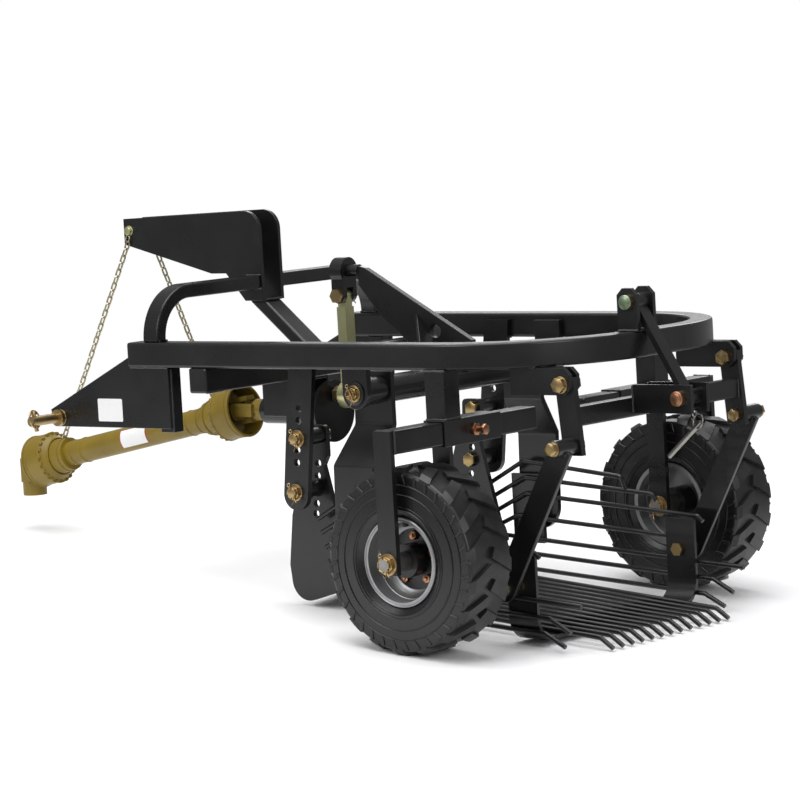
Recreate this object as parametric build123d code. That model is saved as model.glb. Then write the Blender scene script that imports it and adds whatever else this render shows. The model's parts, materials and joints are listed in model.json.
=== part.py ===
from build123d import *
import math
import os

# Single-row potato digger for a small tractor, parked on its two wheels and its share.
# Pieces are drawn in the machine frame: x forward, y left, z up, x = 0 at the wheel axle,
# z = 0 under the tyres, rails level. They are turned into the parked position at the end.

# Rail frame
tube_size = 50
rail_height = 54
rail_half_width = 390
rail_front_x = 843
rail_bottom_z = 560
rail_rear_x = -303
rail_bend_radius = 323
cross_front_x = 667
cross_tube_depth = 54

# Lower hitch
hitch_plate_thickness = 10
hitch_plate_inset = 8
hitch_plate_bottom_z = 428
hitch_plate_length = 355
hitch_plate_overlap = 110
hitch_tip_height = 37
hitch_tip_chamfer = 10
hitch_plate_rise = 23
hitch_post_length = 38
hitch_post_width = 30
hitch_post_drop = 9
hitch_pin_radius = 11
hitch_pin_setback = 28
hitch_pin_z = 448
hitch_pin_length = 80
hitch_collar_radius = 18
hitch_collar_width = 12
hitch_nut_size = 34
hitch_nut_width = 16

# Mast
mast_gap = 54
mast_plate_thickness = 9
mast_hole_radius = 9.75
mast_hole_z = 834
mast_hole_setback = 17
mast_nose_x = 1161
mast_nose_top_z = 861
mast_nose_bottom_z = 803
mast_back_top_z = 874
mast_back_x = 754
mast_corner_radius = 42
mast_foot_z = 674
mast_foot_length = 52
mast_throat_z = 735
mast_throat_front_x = 902
mast_throat_rear_x = 859
arch_length = 42
arch_thickness = 30
arch_front_x = 800
arch_inset = 8
arch_top_z = 731
arch_radius = 98
brace_width = 54
brace_depth = 46

# Drive line
drive_z = 428
shaft_radius = 17.5
shaft_front_x = 820
bearing_tube_radius = 30
bearing_tube_front_x = 790
bearing_tube_rear_x = 628
bearing_clearance = 0.3
drive_cheek_clearance = 0.3
drive_cheek_thickness = 8
drive_cheek_front_x = 770
drive_cheek_rear_x = 640
drive_cheek_drop = 10
drive_web_inset = 20
drive_web_thickness = 6
disc_radius = 68
disc_thickness = 10
disc_rear_x = 596
disc_hub_radius = 30
disc_hub_length = 18
crank_throw = 37
crank_pin_radius = 12
crank_pin_gap = 5
crank_pin_tail = 16
crank_nut_size = 32
crank_nut_width = 16

# Connecting rod and its knuckle
rod_x = 549
rod_length_x = 24
rod_width_y = 30
rod_tongue_width = 20
rod_eye_radius = 30
rod_eye_length = 28
fork_bolt_z = 683
fork_bolt_radius = 8
fork_bolt_tail = 14
fork_cheek_thickness = 12
fork_clearance = 0.4
fork_length_x = 34
fork_end_radius = 17
fork_nut_size = 28
fork_nut_width = 10
knuckle_radius = 29
knuckle_length = 32
stub_z = 737
stub_radius = 13
stub_tail = 8
pin_clearance = 0.4

# Rocker: rock tube, lever and the two arms that carry the sieve's front
rock_x = 250
rock_z = 506
rock_tube_radius = 29
rock_end_clearance = 0.4
rock_pin_radius = 14
rock_pin_length = 56
lever_thickness = 14
lever_front_x = 502
lever_hole_x = 296
lever_hole_z = 606
lever_hole_radius = 15
gusset_thickness = 8
gusset_reach = 88
gusset_height = 142
gusset_slope = 52
gusset_tip = 12
gusset_seat_x = 14
gusset_seat_drop = 8
lever_nose_up = 10
lever_nose_down = 32
lever_shoulder = 21
lever_heel = 24
lever_heel_top = 80
lever_heel_bottom = 36
lever_belly_x = 50
lever_belly_drop = 91
arm_upper_y = 250
arm_lower_y = 312
arm_thickness = 12
arm_upper_width = 100
arm_neck_z = 430
arm_knee_z = 350
arm_top_z = 545
arm_bend_radius = 14
arm_end_radius = 52
arm_end_drop = 5
arm_lead = 17
sieve_bolt_tail = 21
bolt_head_radius = 13
bolt_head_height = 8

# Hangers, straps and the fixed share between its side plates
hanger_radius = 34
hanger_thickness = 14
hanger_top_z = 600
strap_width = 66
strap_thickness = 12
strap_top_z = 600
strap_top_x = 391
strap_bottom_z = 257
strap_lean = 0.118
strap_hole_radius = 8
strap_bolt_radius = 9
strap_bolt_heads_y = 249
strap_bolt_end_y = 356
strap_bolt_heights = (409, 295)
strap_hole_heights = (473, 447, 385, 358)
share_side_hole_heights = (349, 322, 263, 241)
spacer_radius = 17.5
share_side_y = 259
share_side_thickness = 12
share_side_corner = 45
share_rear_x = 385
share_tip_x = 545
share_tip_z = 48
share_slope = 15.5
share_thickness = 9
share_point_depth = 80
share_nut_size = 28
# Corners of a share side plate, x and z, from its top rear corner round by the front
share_side_outline = ((394, 430), (444, 430), (446, 398), (501, 236), (515, 130), (505, 40), (350, 85),
                      (350, 127), (405, 345), (394, 365))
share_side_top_radius = 10

# Wheels
tyre_radius = 190
tyre_width = 142
tyre_wall_width = 132
rim_flange_radius = 91
rim_lip = 5
rim_width = 126
rim_wall = 4
rim_disc_thickness = 5
wheel_y = 466
hub_radius = 34
hub_length = 96
hub_flange_radius = 62
hub_flange_thickness = 8
axle_radius = 12.5
wheel_clearance = 0.5
lug_height = 8
lug_length = 24
lug_slant = 28
lug_count = 18

# Wheel arms, beams and sleeves
wheel_arm_width = 44
wheel_arm_thickness = 12
wheel_arm_bottom_z = 168
outer_arm_y = 553
inner_arm_y = 367
axle_end = 16
spacer_wall = 7
sleeve_size = 54
sleeve_wall = 3
sleeve_top_z = 460
sleeve_centre_x = -1
sleeve_outer_y = 398
sleeve_inner_y = 211
beam_clearance = 0.3
beam_inner_y = 84

# Rear frame
rear_bracket_front_x = -131
rear_bracket_rear_x = -280
rear_bracket_bottom_z = 505
rear_bracket_corner = 14
rear_plate_thickness = 10
rear_bolt_x = -257
rear_bolt_z = 526
rear_bolt_radius = 9
rear_bolt_head = 14
rear_bolt_tail = 12
rear_arm_inner_y = 283
rear_arm_thickness = 14
rear_arm_width = 46
rear_arm_overrun = 20
rear_bar_x = -281
rear_bar_height = 40
rear_bar_bottom_z = 440
rear_bar_depth = 30

# Rear links
link_top_x = -271
link_top_z = 403
link_bottom_x = -110
link_bottom_z = 112
link_boss_radius = 17
link_boss_end_y = 361
link_width = 53
link_thickness = 10
link_strap_y = 326
link_bolt_radius = 8
link_bolt_tail = 14
link_bolt_collar = 4
link_bush_clearance = 1.2
link_nut_size = 26
link_nut_width = 9

# Top bracket and tie
tie_y = 65
tie_plate = 10
tie_gap = 46
top_bracket_rear_x = -303
top_bracket_length = 50
top_bracket_height = 88
top_bracket_chamfer = 14
tie_pin_radius = 11
tie_pin_tail = 14
tie_boss_wall = 5
tie_head_rim = 4
tie_head_height = 8
tie_top_x = -280
tie_top_z = 674
tie_low_x = -396
tie_low_z = 479
tie_thickness = 12
tie_width = 32
clevis_rear_x = -424
clevis_bottom_z = 448
clevis_height = 58

# Sieve
sieve_bar_radius = 5
sieve_bar_count = 13
sieve_bar_pitch = 34.4
sieve_front_x = 372
sieve_front_z = 60
sieve_bend_x = -250
sieve_bend_z = 1
sieve_tip_x = -280
sieve_tip_z = -19
sieve_bend_radius = 14
sieve_cross_bar_x = 352
sieve_pivot_x = 285
sieve_pivot_z = 190
cheek_y = 295
cheek_thickness = 10
cheek_front_x = 345
cheek_rear_x = 262
cheek_bottom_z = 108
cheek_top_z = 262
hoop_thickness = 8
hoop_front_x = -79
hoop_rear_x = -152
hoop_top_z = 181
hoop_corner_radius = 52
side_bar_y = 290
side_bar_fall = 0.075
# Each side bar: height over the axle, front bend, front end, rear end and its height, tip
side_bars = (
    (268, 305, (413, 233), (42, 262), (30, 236)),
    (231, 305, (404, 205), (-38, 227), (-48, 214)),
    (195, 305, (395, 174), (-155, 183), (-168, 172)),
    (144, 330, (388, 144), (-78, 138), None),
    (97, None, (375, 125), (-268, 77), None),
    (63, None, (370, 91), (-188, 49), (-238, 22)),
    (30, None, (366, 58), (-168, 17), (-218, -8)),
)

# Drive shaft and its guard
joint_x = 850
guard_slope = 11.4
guard_tube_radius = 28.5
guard_wall = 3
guard_drum_radius = 59
guard_drum_length = 55
guard_shoulder_length = 16
guard_collar_radius = 41
guard_collar_length = 38
guard_rear_rim = 7
guard_front_rim = 21
joint_distance = 695
yoke_radius = 24
yoke_ear_gap = 20
yoke_ear_thickness = 10
yoke_ear_width = 28
yoke_bore_radius = 17.5
yoke_cup_radius = 13.5
yoke_base = 54
tractor_yoke_base = 36
tractor_yoke_length = 38
cross_pin_radius = 8
slim_pin_radius = 6.5
drive_tube_radius = 16

# Chains
chain_wire = 3
chain_link_length = 24
chain_link_width = 13
mast_chain_x = 1144
mast_chain_z = 811
guard_chain_x = 1425
rear_chain_x = 1146
rear_chain_z = 811
rear_guard_chain_x = 950
chain_offset = 2.3


def block(x0, x1, y0, y1, z0, z1):
    return Pos((x0 + x1) / 2, (y0 + y1) / 2, (z0 + z1) / 2) * Box(abs(x1 - x0), abs(y1 - y0), abs(z1 - z0))


def side_plate(points, y0, y1, corners=()):
    """Plate with an outline in the x-z plane; corners lists (corner index, radius) to round."""
    face = make_face(Polyline(*[(x, z) for x, z in points], close=True))
    for index, radius in corners:
        corner = face.vertices().sort_by_distance((points[index][0], points[index][1], 0))[0]
        face = fillet(corner, radius)
    return Pos(0, max(y0, y1), 0) * Rot(90, 0, 0) * extrude(face, amount=abs(y1 - y0))


def rod_along_y(x, z, radius, y0, y1):
    return Pos(x, (y0 + y1) / 2, z) * Rot(90, 0, 0) * Cylinder(radius, abs(y1 - y0))


def rod_along_x(y, z, radius, x0, x1):
    return Pos((x0 + x1) / 2, y, z) * Rot(0, 90, 0) * Cylinder(radius, abs(x1 - x0))


def hexagon_along_y(x, z, across, y0, y1):
    shape = extrude(RegularPolygon(across / 2, 6, major_radius=False), amount=abs(y1 - y0))
    return Pos(x, max(y0, y1), z) * Rot(90, 0, 0) * shape


def bent_rod(points, bend_radius, radius):
    """Round rod through the points, with every inner point rounded to the bend radius."""
    if len(points) > 2:
        path = FilletPolyline(*points, radius=bend_radius)
    else:
        path = Polyline(*points)
    start = Plane(origin=path @ 0, z_dir=path % 0)
    return sweep(start * Circle(radius), path=path)


def mirrored(shape):
    return mirror(shape, about=Plane.XZ)


def pair(*shapes):
    """The shapes and their mirror images, each a solid of its own."""
    solids = [solid for shape in shapes for solid in shape.solids()]
    return Compound(children=solids + [mirrored(solid) for solid in solids])


# Nose-down angle at which the share's tip and the tyres rest on the same floor.
tip_reach = math.hypot(tyre_radius - share_tip_z, share_tip_x)
park_angle = math.atan2(share_tip_x, tyre_radius - share_tip_z) - math.acos(tyre_radius / tip_reach)
park_lift = tyre_radius - tyre_radius * math.cos(park_angle)

rail_top_z = rail_bottom_z + rail_height
rail_inner_y = rail_half_width - tube_size
cross_bottom_z = rail_bottom_z - cross_tube_depth
nodes = {}


def rail_frame():
    bend_x = rail_rear_x + rail_bend_radius
    bend_y = rail_half_width - rail_bend_radius

    def outline(inset):
        width = rail_half_width - inset
        with BuildSketch() as sketch:
            with BuildLine():
                Line((rail_front_x, width), (bend_x, width))
                CenterArc((bend_x, bend_y), rail_bend_radius - inset, 90, 90)
                Line((rail_rear_x + inset, bend_y), (rail_rear_x + inset, -bend_y))
                CenterArc((bend_x, -bend_y), rail_bend_radius - inset, 180, 90)
                Line((bend_x, -width), (rail_front_x, -width))
                Line((rail_front_x, -width), (rail_front_x, width))
            make_face()
        return sketch.sketch
    nodes["u_rail"] = Pos(0, 0, rail_bottom_z) * extrude(outline(0) - outline(tube_size), amount=rail_height)
    nodes["front_cross_tube"] = block(cross_front_x - tube_size, cross_front_x, -rail_half_width,
                                      rail_half_width, cross_bottom_z, rail_bottom_z)


def lower_hitch():
    outer = rail_half_width - hitch_plate_inset
    inner = outer - hitch_plate_thickness
    rear = rail_front_x - hitch_plate_overlap
    tip = rear + hitch_plate_length
    bottom = hitch_plate_bottom_z
    pin_x = tip - hitch_pin_setback
    plate = side_plate([(rear, bottom), (tip - hitch_tip_chamfer, bottom), (tip, bottom + hitch_tip_height),
                        (rail_front_x, rail_bottom_z + hitch_plate_rise), (rail_front_x, rail_bottom_z),
                        (rear, rail_bottom_z)], inner, outer)
    plate -= rod_along_y(pin_x, hitch_pin_z, hitch_pin_radius, inner, outer)
    post = block(rear, rear + hitch_post_length, inner - hitch_post_width, inner,
                 bottom - hitch_post_drop, rail_bottom_z)
    pin = rod_along_y(pin_x, hitch_pin_z, hitch_pin_radius, inner, outer + hitch_collar_width + hitch_pin_length)
    pin += rod_along_y(pin_x, hitch_pin_z, hitch_collar_radius, outer, outer + hitch_collar_width)
    pin += hexagon_along_y(pin_x, hitch_pin_z, hitch_nut_size, inner - hitch_nut_width, inner)
    nodes["hitch_plates"] = pair(plate, post)
    nodes["hitch_pins"] = pair(pin)


def mast():
    inner = mast_gap / 2
    outer = inner + mast_plate_thickness
    back = mast_back_x
    plate = side_plate([(mast_nose_x, mast_nose_bottom_z), (mast_nose_x, mast_nose_top_z),
                        (back, mast_back_top_z), (back, mast_foot_z), (back + mast_foot_length, mast_foot_z),
                        (mast_throat_rear_x, mast_throat_z), (mast_throat_front_x, mast_throat_z)],
                       inner, outer, corners=[(2, mast_corner_radius)])
    hole_x = mast_nose_x - mast_hole_setback
    nodes["mast_plates"] = pair(plate - rod_along_y(hole_x, mast_hole_z, mast_hole_radius, inner, outer))
    centre_y = rail_half_width - arch_inset - arch_thickness / 2
    centre_z = arch_top_z - arch_thickness / 2
    path = FilletPolyline((0, centre_y, rail_top_z), (0, centre_y, centre_z), (0, outer, centre_z),
                          radius=arch_radius)
    section = Plane(origin=(0, centre_y, rail_top_z), z_dir=(0, 0, 1)) * Rectangle(arch_length, arch_thickness)
    nodes["mast_arches"] = pair(Pos(arch_front_x - arch_length / 2, 0, 0) * sweep(section, path=path))
    foot_mid = back + mast_foot_length / 2
    cross_mid = cross_front_x - tube_size / 2
    half = brace_depth / 2
    nodes["mast_brace"] = side_plate([(foot_mid - half, mast_foot_z), (foot_mid + half, mast_foot_z),
                                      (cross_mid + half, rail_bottom_z), (cross_mid - half, rail_bottom_z)],
                                     -brace_width / 2, brace_width / 2)


def drive_line():
    cheek_inner = bearing_tube_radius + drive_cheek_clearance
    cheek_outer = cheek_inner + drive_cheek_thickness
    cheek = block(drive_cheek_rear_x, drive_cheek_front_x, cheek_inner, cheek_outer,
                  drive_z - drive_cheek_drop, cross_bottom_z)
    web_z = drive_z + bearing_tube_radius
    web = block(drive_cheek_rear_x + drive_web_inset, drive_cheek_front_x - drive_web_inset,
                -cheek_inner, cheek_inner, web_z, web_z + drive_web_thickness)
    top = block(drive_cheek_rear_x, drive_cheek_front_x, -cheek_inner, cheek_inner,
                cross_bottom_z - drive_cheek_thickness, cross_bottom_z)
    nodes["drive_bracket"] = cheek + mirrored(cheek) + top + web
    tube = rod_along_x(0, drive_z, bearing_tube_radius, bearing_tube_rear_x, bearing_tube_front_x)
    nodes["bearing_tube"] = tube - rod_along_x(0, drive_z, shaft_radius + bearing_clearance,
                                               bearing_tube_rear_x, bearing_tube_front_x)
    disc_front = disc_rear_x + disc_thickness
    nodes["input_shaft"] = rod_along_x(0, drive_z, shaft_radius, disc_front, shaft_front_x)
    disc = rod_along_x(0, drive_z, disc_radius, disc_rear_x, disc_front)
    hub = rod_along_x(0, drive_z, disc_hub_radius, disc_front, disc_front + disc_hub_length)
    hub -= rod_along_x(0, drive_z, shaft_radius, disc_front, disc_front + disc_hub_length)
    nodes["crank_disc"] = disc + hub


def connecting_rod():
    eye_z = drive_z + crank_throw
    eye_front = rod_x + rod_eye_length / 2
    eye_rear = rod_x - rod_eye_length / 2
    half_x = rod_length_x / 2
    half_tongue = rod_tongue_width / 2
    shank_top = fork_bolt_z - fork_end_radius - stub_tail
    rod = block(rod_x - half_x, rod_x + half_x, -rod_width_y / 2, rod_width_y / 2, eye_z, shank_top)
    rod += block(rod_x - half_x, rod_x + half_x, -half_tongue, half_tongue, shank_top, fork_bolt_z)
    rod += rod_along_y(rod_x, fork_bolt_z, half_x, -half_tongue, half_tongue)
    rod += rod_along_x(0, eye_z, rod_eye_radius, eye_rear, eye_front)
    rod -= rod_along_x(0, eye_z, crank_pin_radius, eye_rear, eye_front)
    rod -= rod_along_y(rod_x, fork_bolt_z, fork_bolt_radius + pin_clearance, -rod_width_y, rod_width_y)
    nodes["connecting_rod"] = rod
    nut_mid = (eye_front + disc_rear_x) / 2
    nut = Pos(nut_mid, 0, eye_z) * Rot(0, 90, 0) * extrude(
        RegularPolygon(crank_nut_size / 2, 6, major_radius=False), amount=crank_nut_width / 2, both=True)
    nodes["crank_pin"] = nut + rod_along_x(0, eye_z, crank_pin_radius, eye_rear - crank_pin_tail,
                                           disc_rear_x - crank_pin_gap)
    cheek_in = half_tongue + fork_clearance
    cheek_out = cheek_in + fork_cheek_thickness
    x0, x1 = rod_x - fork_length_x / 2, rod_x + fork_length_x / 2
    cheek = block(x0, x1, cheek_in, cheek_out, fork_bolt_z, stub_z)
    cheek += rod_along_y(rod_x, fork_bolt_z, fork_end_radius, cheek_in, cheek_out)
    cap = block(x0, x1, -cheek_out, cheek_out, fork_bolt_z + fork_end_radius, stub_z)
    barrel = rod_along_x(0, stub_z, knuckle_radius, rod_x - knuckle_length / 2, rod_x + knuckle_length / 2)
    knuckle = cheek + mirrored(cheek) + cap + barrel
    knuckle -= rod_along_x(0, stub_z, stub_radius + pin_clearance, x0, x1)
    knuckle -= rod_along_y(rod_x, fork_bolt_z, fork_bolt_radius, -cheek_out, cheek_out)
    nodes["rod_knuckle"] = knuckle
    bolt = rod_along_y(rod_x, fork_bolt_z, fork_bolt_radius, -cheek_out - fork_bolt_tail, cheek_out)
    nodes["fork_bolt"] = bolt + hexagon_along_y(rod_x, fork_bolt_z, fork_nut_size,
                                                cheek_out, cheek_out + fork_nut_width)


def rocker():
    hanger_inner = rail_inner_y - hanger_thickness
    tube_end = hanger_inner - rock_end_clearance
    pin_start = rail_inner_y + rock_pin_radius - rock_pin_length
    tube = rod_along_y(rock_x, rock_z, rock_tube_radius, -tube_end, tube_end)
    end_bore = rod_along_y(rock_x, rock_z, rock_pin_radius + pin_clearance,
                           pin_start - rock_end_clearance, tube_end)
    nodes["rock_tube"] = tube - end_bore - mirrored(end_bore)
    pin = rod_along_y(rock_x, rock_z, rock_pin_radius, pin_start, pin_start + rock_pin_length)
    nodes["rocker_pins"] = pair(pin)
    round_tube = rod_along_y(rock_x, rock_z, rock_tube_radius, -tube_end, tube_end)
    half = lever_thickness / 2
    rear = rock_x - rock_tube_radius
    lever = side_plate([(lever_front_x, stub_z - lever_nose_down), (lever_front_x, stub_z + lever_nose_up),
                        (lever_front_x - lever_shoulder, stub_z + lever_nose_up / 2),
                        (rear - lever_heel, rock_z + lever_heel_top),
                        (rear - lever_heel / 2, rock_z + lever_heel_bottom), (rear + lever_heel / 3, rock_z),
                        (rock_x + rock_tube_radius, rock_z),
                        (lever_front_x - lever_belly_x, stub_z - lever_belly_drop)], -half, half)
    lever = lever - round_tube - rod_along_y(lever_hole_x, lever_hole_z, lever_hole_radius, -half, half)
    nodes["rocker_lever"] = lever + rod_along_x(0, stub_z, stub_radius, lever_front_x,
                                                rod_x + knuckle_length / 2 + stub_tail)
    outline = make_face(Polyline((0, half), (0, half + gusset_reach), (gusset_tip, half + gusset_reach),
                                 (gusset_height, half), close=True))
    foot_z = rock_z + rock_tube_radius - gusset_seat_drop
    gusset = Pos(rock_x + gusset_seat_x, 0, foot_z) * Rot(0, -gusset_slope, 0) * extrude(
        outline, amount=gusset_thickness)
    nodes["lever_gussets"] = pair(gusset - round_tube)
    upper, lower, t = arm_upper_y, arm_lower_y, arm_thickness
    rise = (arm_neck_z - arm_knee_z) / 2
    end_z = sieve_pivot_z - arm_end_radius - arm_end_drop
    band = make_face(Polyline((upper, arm_top_z), (upper, arm_neck_z), (lower, arm_knee_z), (lower, end_z),
                              (lower + t, end_z), (lower + t, arm_knee_z + t / 3), (upper + t, arm_neck_z + t / 3),
                              (upper + t, arm_top_z), close=True))
    bends = [v for v in band.vertices() if arm_knee_z - rise < v.Y < arm_neck_z + rise]
    band = fillet(bends, arm_bend_radius)
    band = Plane(origin=(0, 0, 0), x_dir=(0, 1, 0), z_dir=(1, 0, 0)) * extrude(band, amount=2 * rock_x)
    neck = arm_upper_width / 2
    mid = rock_x + arm_lead
    outline = side_plate([(mid - neck, arm_top_z), (mid + neck, arm_top_z), (mid + neck + 2, arm_neck_z),
                          (sieve_pivot_x + arm_end_radius - 4, arm_knee_z),
                          (sieve_pivot_x + arm_end_radius, sieve_pivot_z),
                          (sieve_pivot_x - arm_end_radius, sieve_pivot_z),
                          (sieve_pivot_x - arm_end_radius - 4, arm_knee_z), (mid - neck, arm_neck_z)],
                         upper, lower + t)
    outline += rod_along_y(sieve_pivot_x, sieve_pivot_z, arm_end_radius, upper, lower + t)
    arm = (Pos(sieve_pivot_x - rock_x, 0, 0) * band) & outline
    arm = arm - round_tube - rod_along_y(sieve_pivot_x, sieve_pivot_z, link_bolt_radius, lower, lower + t)
    nodes["rocker_arms"] = pair(arm)
    head = cheek_y - rock_end_clearance
    bolt = rod_along_y(sieve_pivot_x, sieve_pivot_z, link_bolt_radius, head - 1, lower + t + sieve_bolt_tail)
    bolt += rod_along_y(sieve_pivot_x, sieve_pivot_z, bolt_head_radius, head - bolt_head_height, head)
    nodes["sieve_front_bolts"] = pair(bolt)


def hangers_and_share():
    inner = rail_inner_y - hanger_thickness
    hanger = block(rock_x - hanger_radius, rock_x + hanger_radius, inner, rail_inner_y, rock_z, hanger_top_z)
    hanger += rod_along_y(rock_x, rock_z, hanger_radius, inner, rail_inner_y)
    nodes["hangers"] = pair(hanger - rod_along_y(rock_x, rock_z, rock_pin_radius, inner, rail_inner_y))

    def bolt_x(z):
        return strap_top_x + (strap_top_z - z) * strap_lean
    y1 = rail_inner_y
    y0 = y1 - strap_thickness
    half = strap_width / 2
    low = strap_bottom_z + half
    strap = side_plate([(bolt_x(strap_top_z) - half, strap_top_z), (bolt_x(strap_top_z) + half, strap_top_z),
                        (bolt_x(low) + half, low), (bolt_x(low) - half, low)], y0, y1)
    strap += rod_along_y(bolt_x(low), low, half, y0, y1)
    for z in strap_hole_heights:
        strap -= rod_along_y(bolt_x(z), z, strap_hole_radius, y0, y1)
    side_y1 = share_side_y + share_side_thickness
    side = side_plate(share_side_outline, share_side_y, side_y1,
                      corners=[(0, share_side_top_radius), (1, share_side_top_radius), (5, share_side_corner)])
    for z in share_side_hole_heights:
        side -= rod_along_y(bolt_x(z), z, strap_hole_radius, share_side_y, side_y1)
    bolts = []
    for z in strap_bolt_heights:
        strap -= rod_along_y(bolt_x(z), z, strap_bolt_radius, y0, y1)
        side -= rod_along_y(bolt_x(z), z, strap_bolt_radius, share_side_y, side_y1)
        bolt = rod_along_y(bolt_x(z), z, strap_bolt_radius, strap_bolt_heads_y, strap_bolt_end_y)
        bolt += rod_along_y(bolt_x(z), z, spacer_radius, side_y1, y0)
        bolts.append(bolt + hexagon_along_y(bolt_x(z), z, share_nut_size, strap_bolt_heads_y, share_side_y))
    nodes["share_straps"] = pair(strap)
    nodes["share_sides"] = pair(side)
    nodes["share_bolts"] = pair(*bolts)
    slope = math.radians(share_slope)
    length = (share_tip_x - share_rear_x) / math.cos(slope)
    outline = Polyline((0, share_side_y), (0, -share_side_y), (length - share_point_depth, -share_side_y),
                       (length, 0), (length - share_point_depth, share_side_y), close=True)
    rear_z = share_tip_z + length * math.sin(slope)
    blade = extrude(make_face(outline), amount=share_thickness)
    nodes["share_blade"] = Pos(share_rear_x, 0, rear_z) * Rot(0, share_slope, 0) * blade


def wheels():
    half = tyre_width / 2
    tread = tyre_radius - lug_height
    bead = rim_flange_radius
    with BuildSketch(Plane.XZ) as section:
        with BuildLine():
            FilletPolyline((bead, -half + 12), (bead + 14, -half), (tread, -tyre_wall_width / 2),
                           (tread, tyre_wall_width / 2), (bead + 14, half), (bead, half - 12), radius=8)
            Line((bead, half - 12), (bead, -half + 12))
        make_face()
    profile = section.sketch
    tyre = revolve(profile, axis=Axis.Z)
    pitch = 360 / lug_count
    lugs = []
    for i in range(lug_count):
        for side in (1, -1):
            lug = Pos(tread, 0, side * half * 0.5) * Rot(side * lug_slant, 0, 0) * Box(
                2 * lug_height, lug_length, half * 1.1)
            lugs.append(Rot(0, 0, (i + (side > 0) / 2) * pitch) * lug)
    envelope = Cylinder(tyre_radius, tyre_wall_width + 2)
    envelope = chamfer(envelope.edges().filter_by(GeomType.CIRCLE), 12, 8)
    tyre = tyre + [lug & envelope for lug in lugs]
    inner = rim_flange_radius - rim_lip
    rim = Cylinder(rim_flange_radius, rim_width) - Cylinder(inner - rim_wall, rim_width)
    rim -= Cylinder(rim_flange_radius, rim_width - 2 * rim_lip) - Cylinder(inner, rim_width)
    tyre_seat = Cylinder(rim_flange_radius, tyre_width)
    disc = Cylinder(inner - rim_wall, rim_disc_thickness) - Cylinder(hub_radius, rim_disc_thickness)
    rim += disc
    hub = Cylinder(hub_radius, hub_length)
    hub += Pos(0, 0, (rim_disc_thickness + hub_flange_thickness) / 2) * Cylinder(hub_flange_radius,
                                                                               hub_flange_thickness)
    hub -= Cylinder(axle_radius + wheel_clearance, hub_length)
    place = Pos(0, wheel_y, tyre_radius) * Rot(-90, 0, 0)
    for name, shape in (("tyre", tyre - tyre_seat), ("rim", rim), ("hub", hub)):
        nodes[name + "_left"] = place * shape
        nodes[name + "_right"] = mirrored(place * shape)


def wheel_supports():
    half = sleeve_size / 2
    z1 = sleeve_top_z
    zc = z1 - half
    bore = half - sleeve_wall
    centre = sleeve_centre_x
    sleeve = block(centre - half, centre + half, sleeve_inner_y, sleeve_outer_y, z1 - sleeve_size, z1)
    sleeve -= block(centre - bore, centre + bore, sleeve_inner_y, sleeve_outer_y, zc - bore, zc + bore)
    post = block(centre - tube_size / 2, centre + tube_size / 2, rail_inner_y, rail_half_width, z1, rail_bottom_z)
    nodes["wheel_sleeves"] = pair(sleeve, post)
    b = bore - beam_clearance
    nodes["wheel_beams"] = pair(block(centre - b, centre + b, beam_inner_y, outer_arm_y, zc - b, zc + b))
    w = wheel_arm_width / 2
    t = wheel_arm_thickness
    outer = block(-w, w, outer_arm_y, outer_arm_y + t, wheel_arm_bottom_z, zc + b)
    inner = block(-w, w, inner_arm_y, inner_arm_y + t, wheel_arm_bottom_z, z1 - sleeve_size)
    nodes["wheel_arms"] = pair(outer - rod_along_y(0, tyre_radius, axle_radius, outer_arm_y, outer_arm_y + t),
                               inner - rod_along_y(0, tyre_radius, axle_radius, inner_arm_y, inner_arm_y + t))
    axle = rod_along_y(0, tyre_radius, axle_radius, inner_arm_y - axle_end, outer_arm_y + t + axle_end)
    r = axle_radius + spacer_wall
    hub_in = wheel_y - hub_length / 2 - wheel_clearance
    hub_out = wheel_y + hub_length / 2 + wheel_clearance
    axle += rod_along_y(0, tyre_radius, r, inner_arm_y + t, hub_in)
    axle += rod_along_y(0, tyre_radius, r, hub_out, outer_arm_y)
    nodes["wheel_axles"] = pair(axle)


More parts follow.
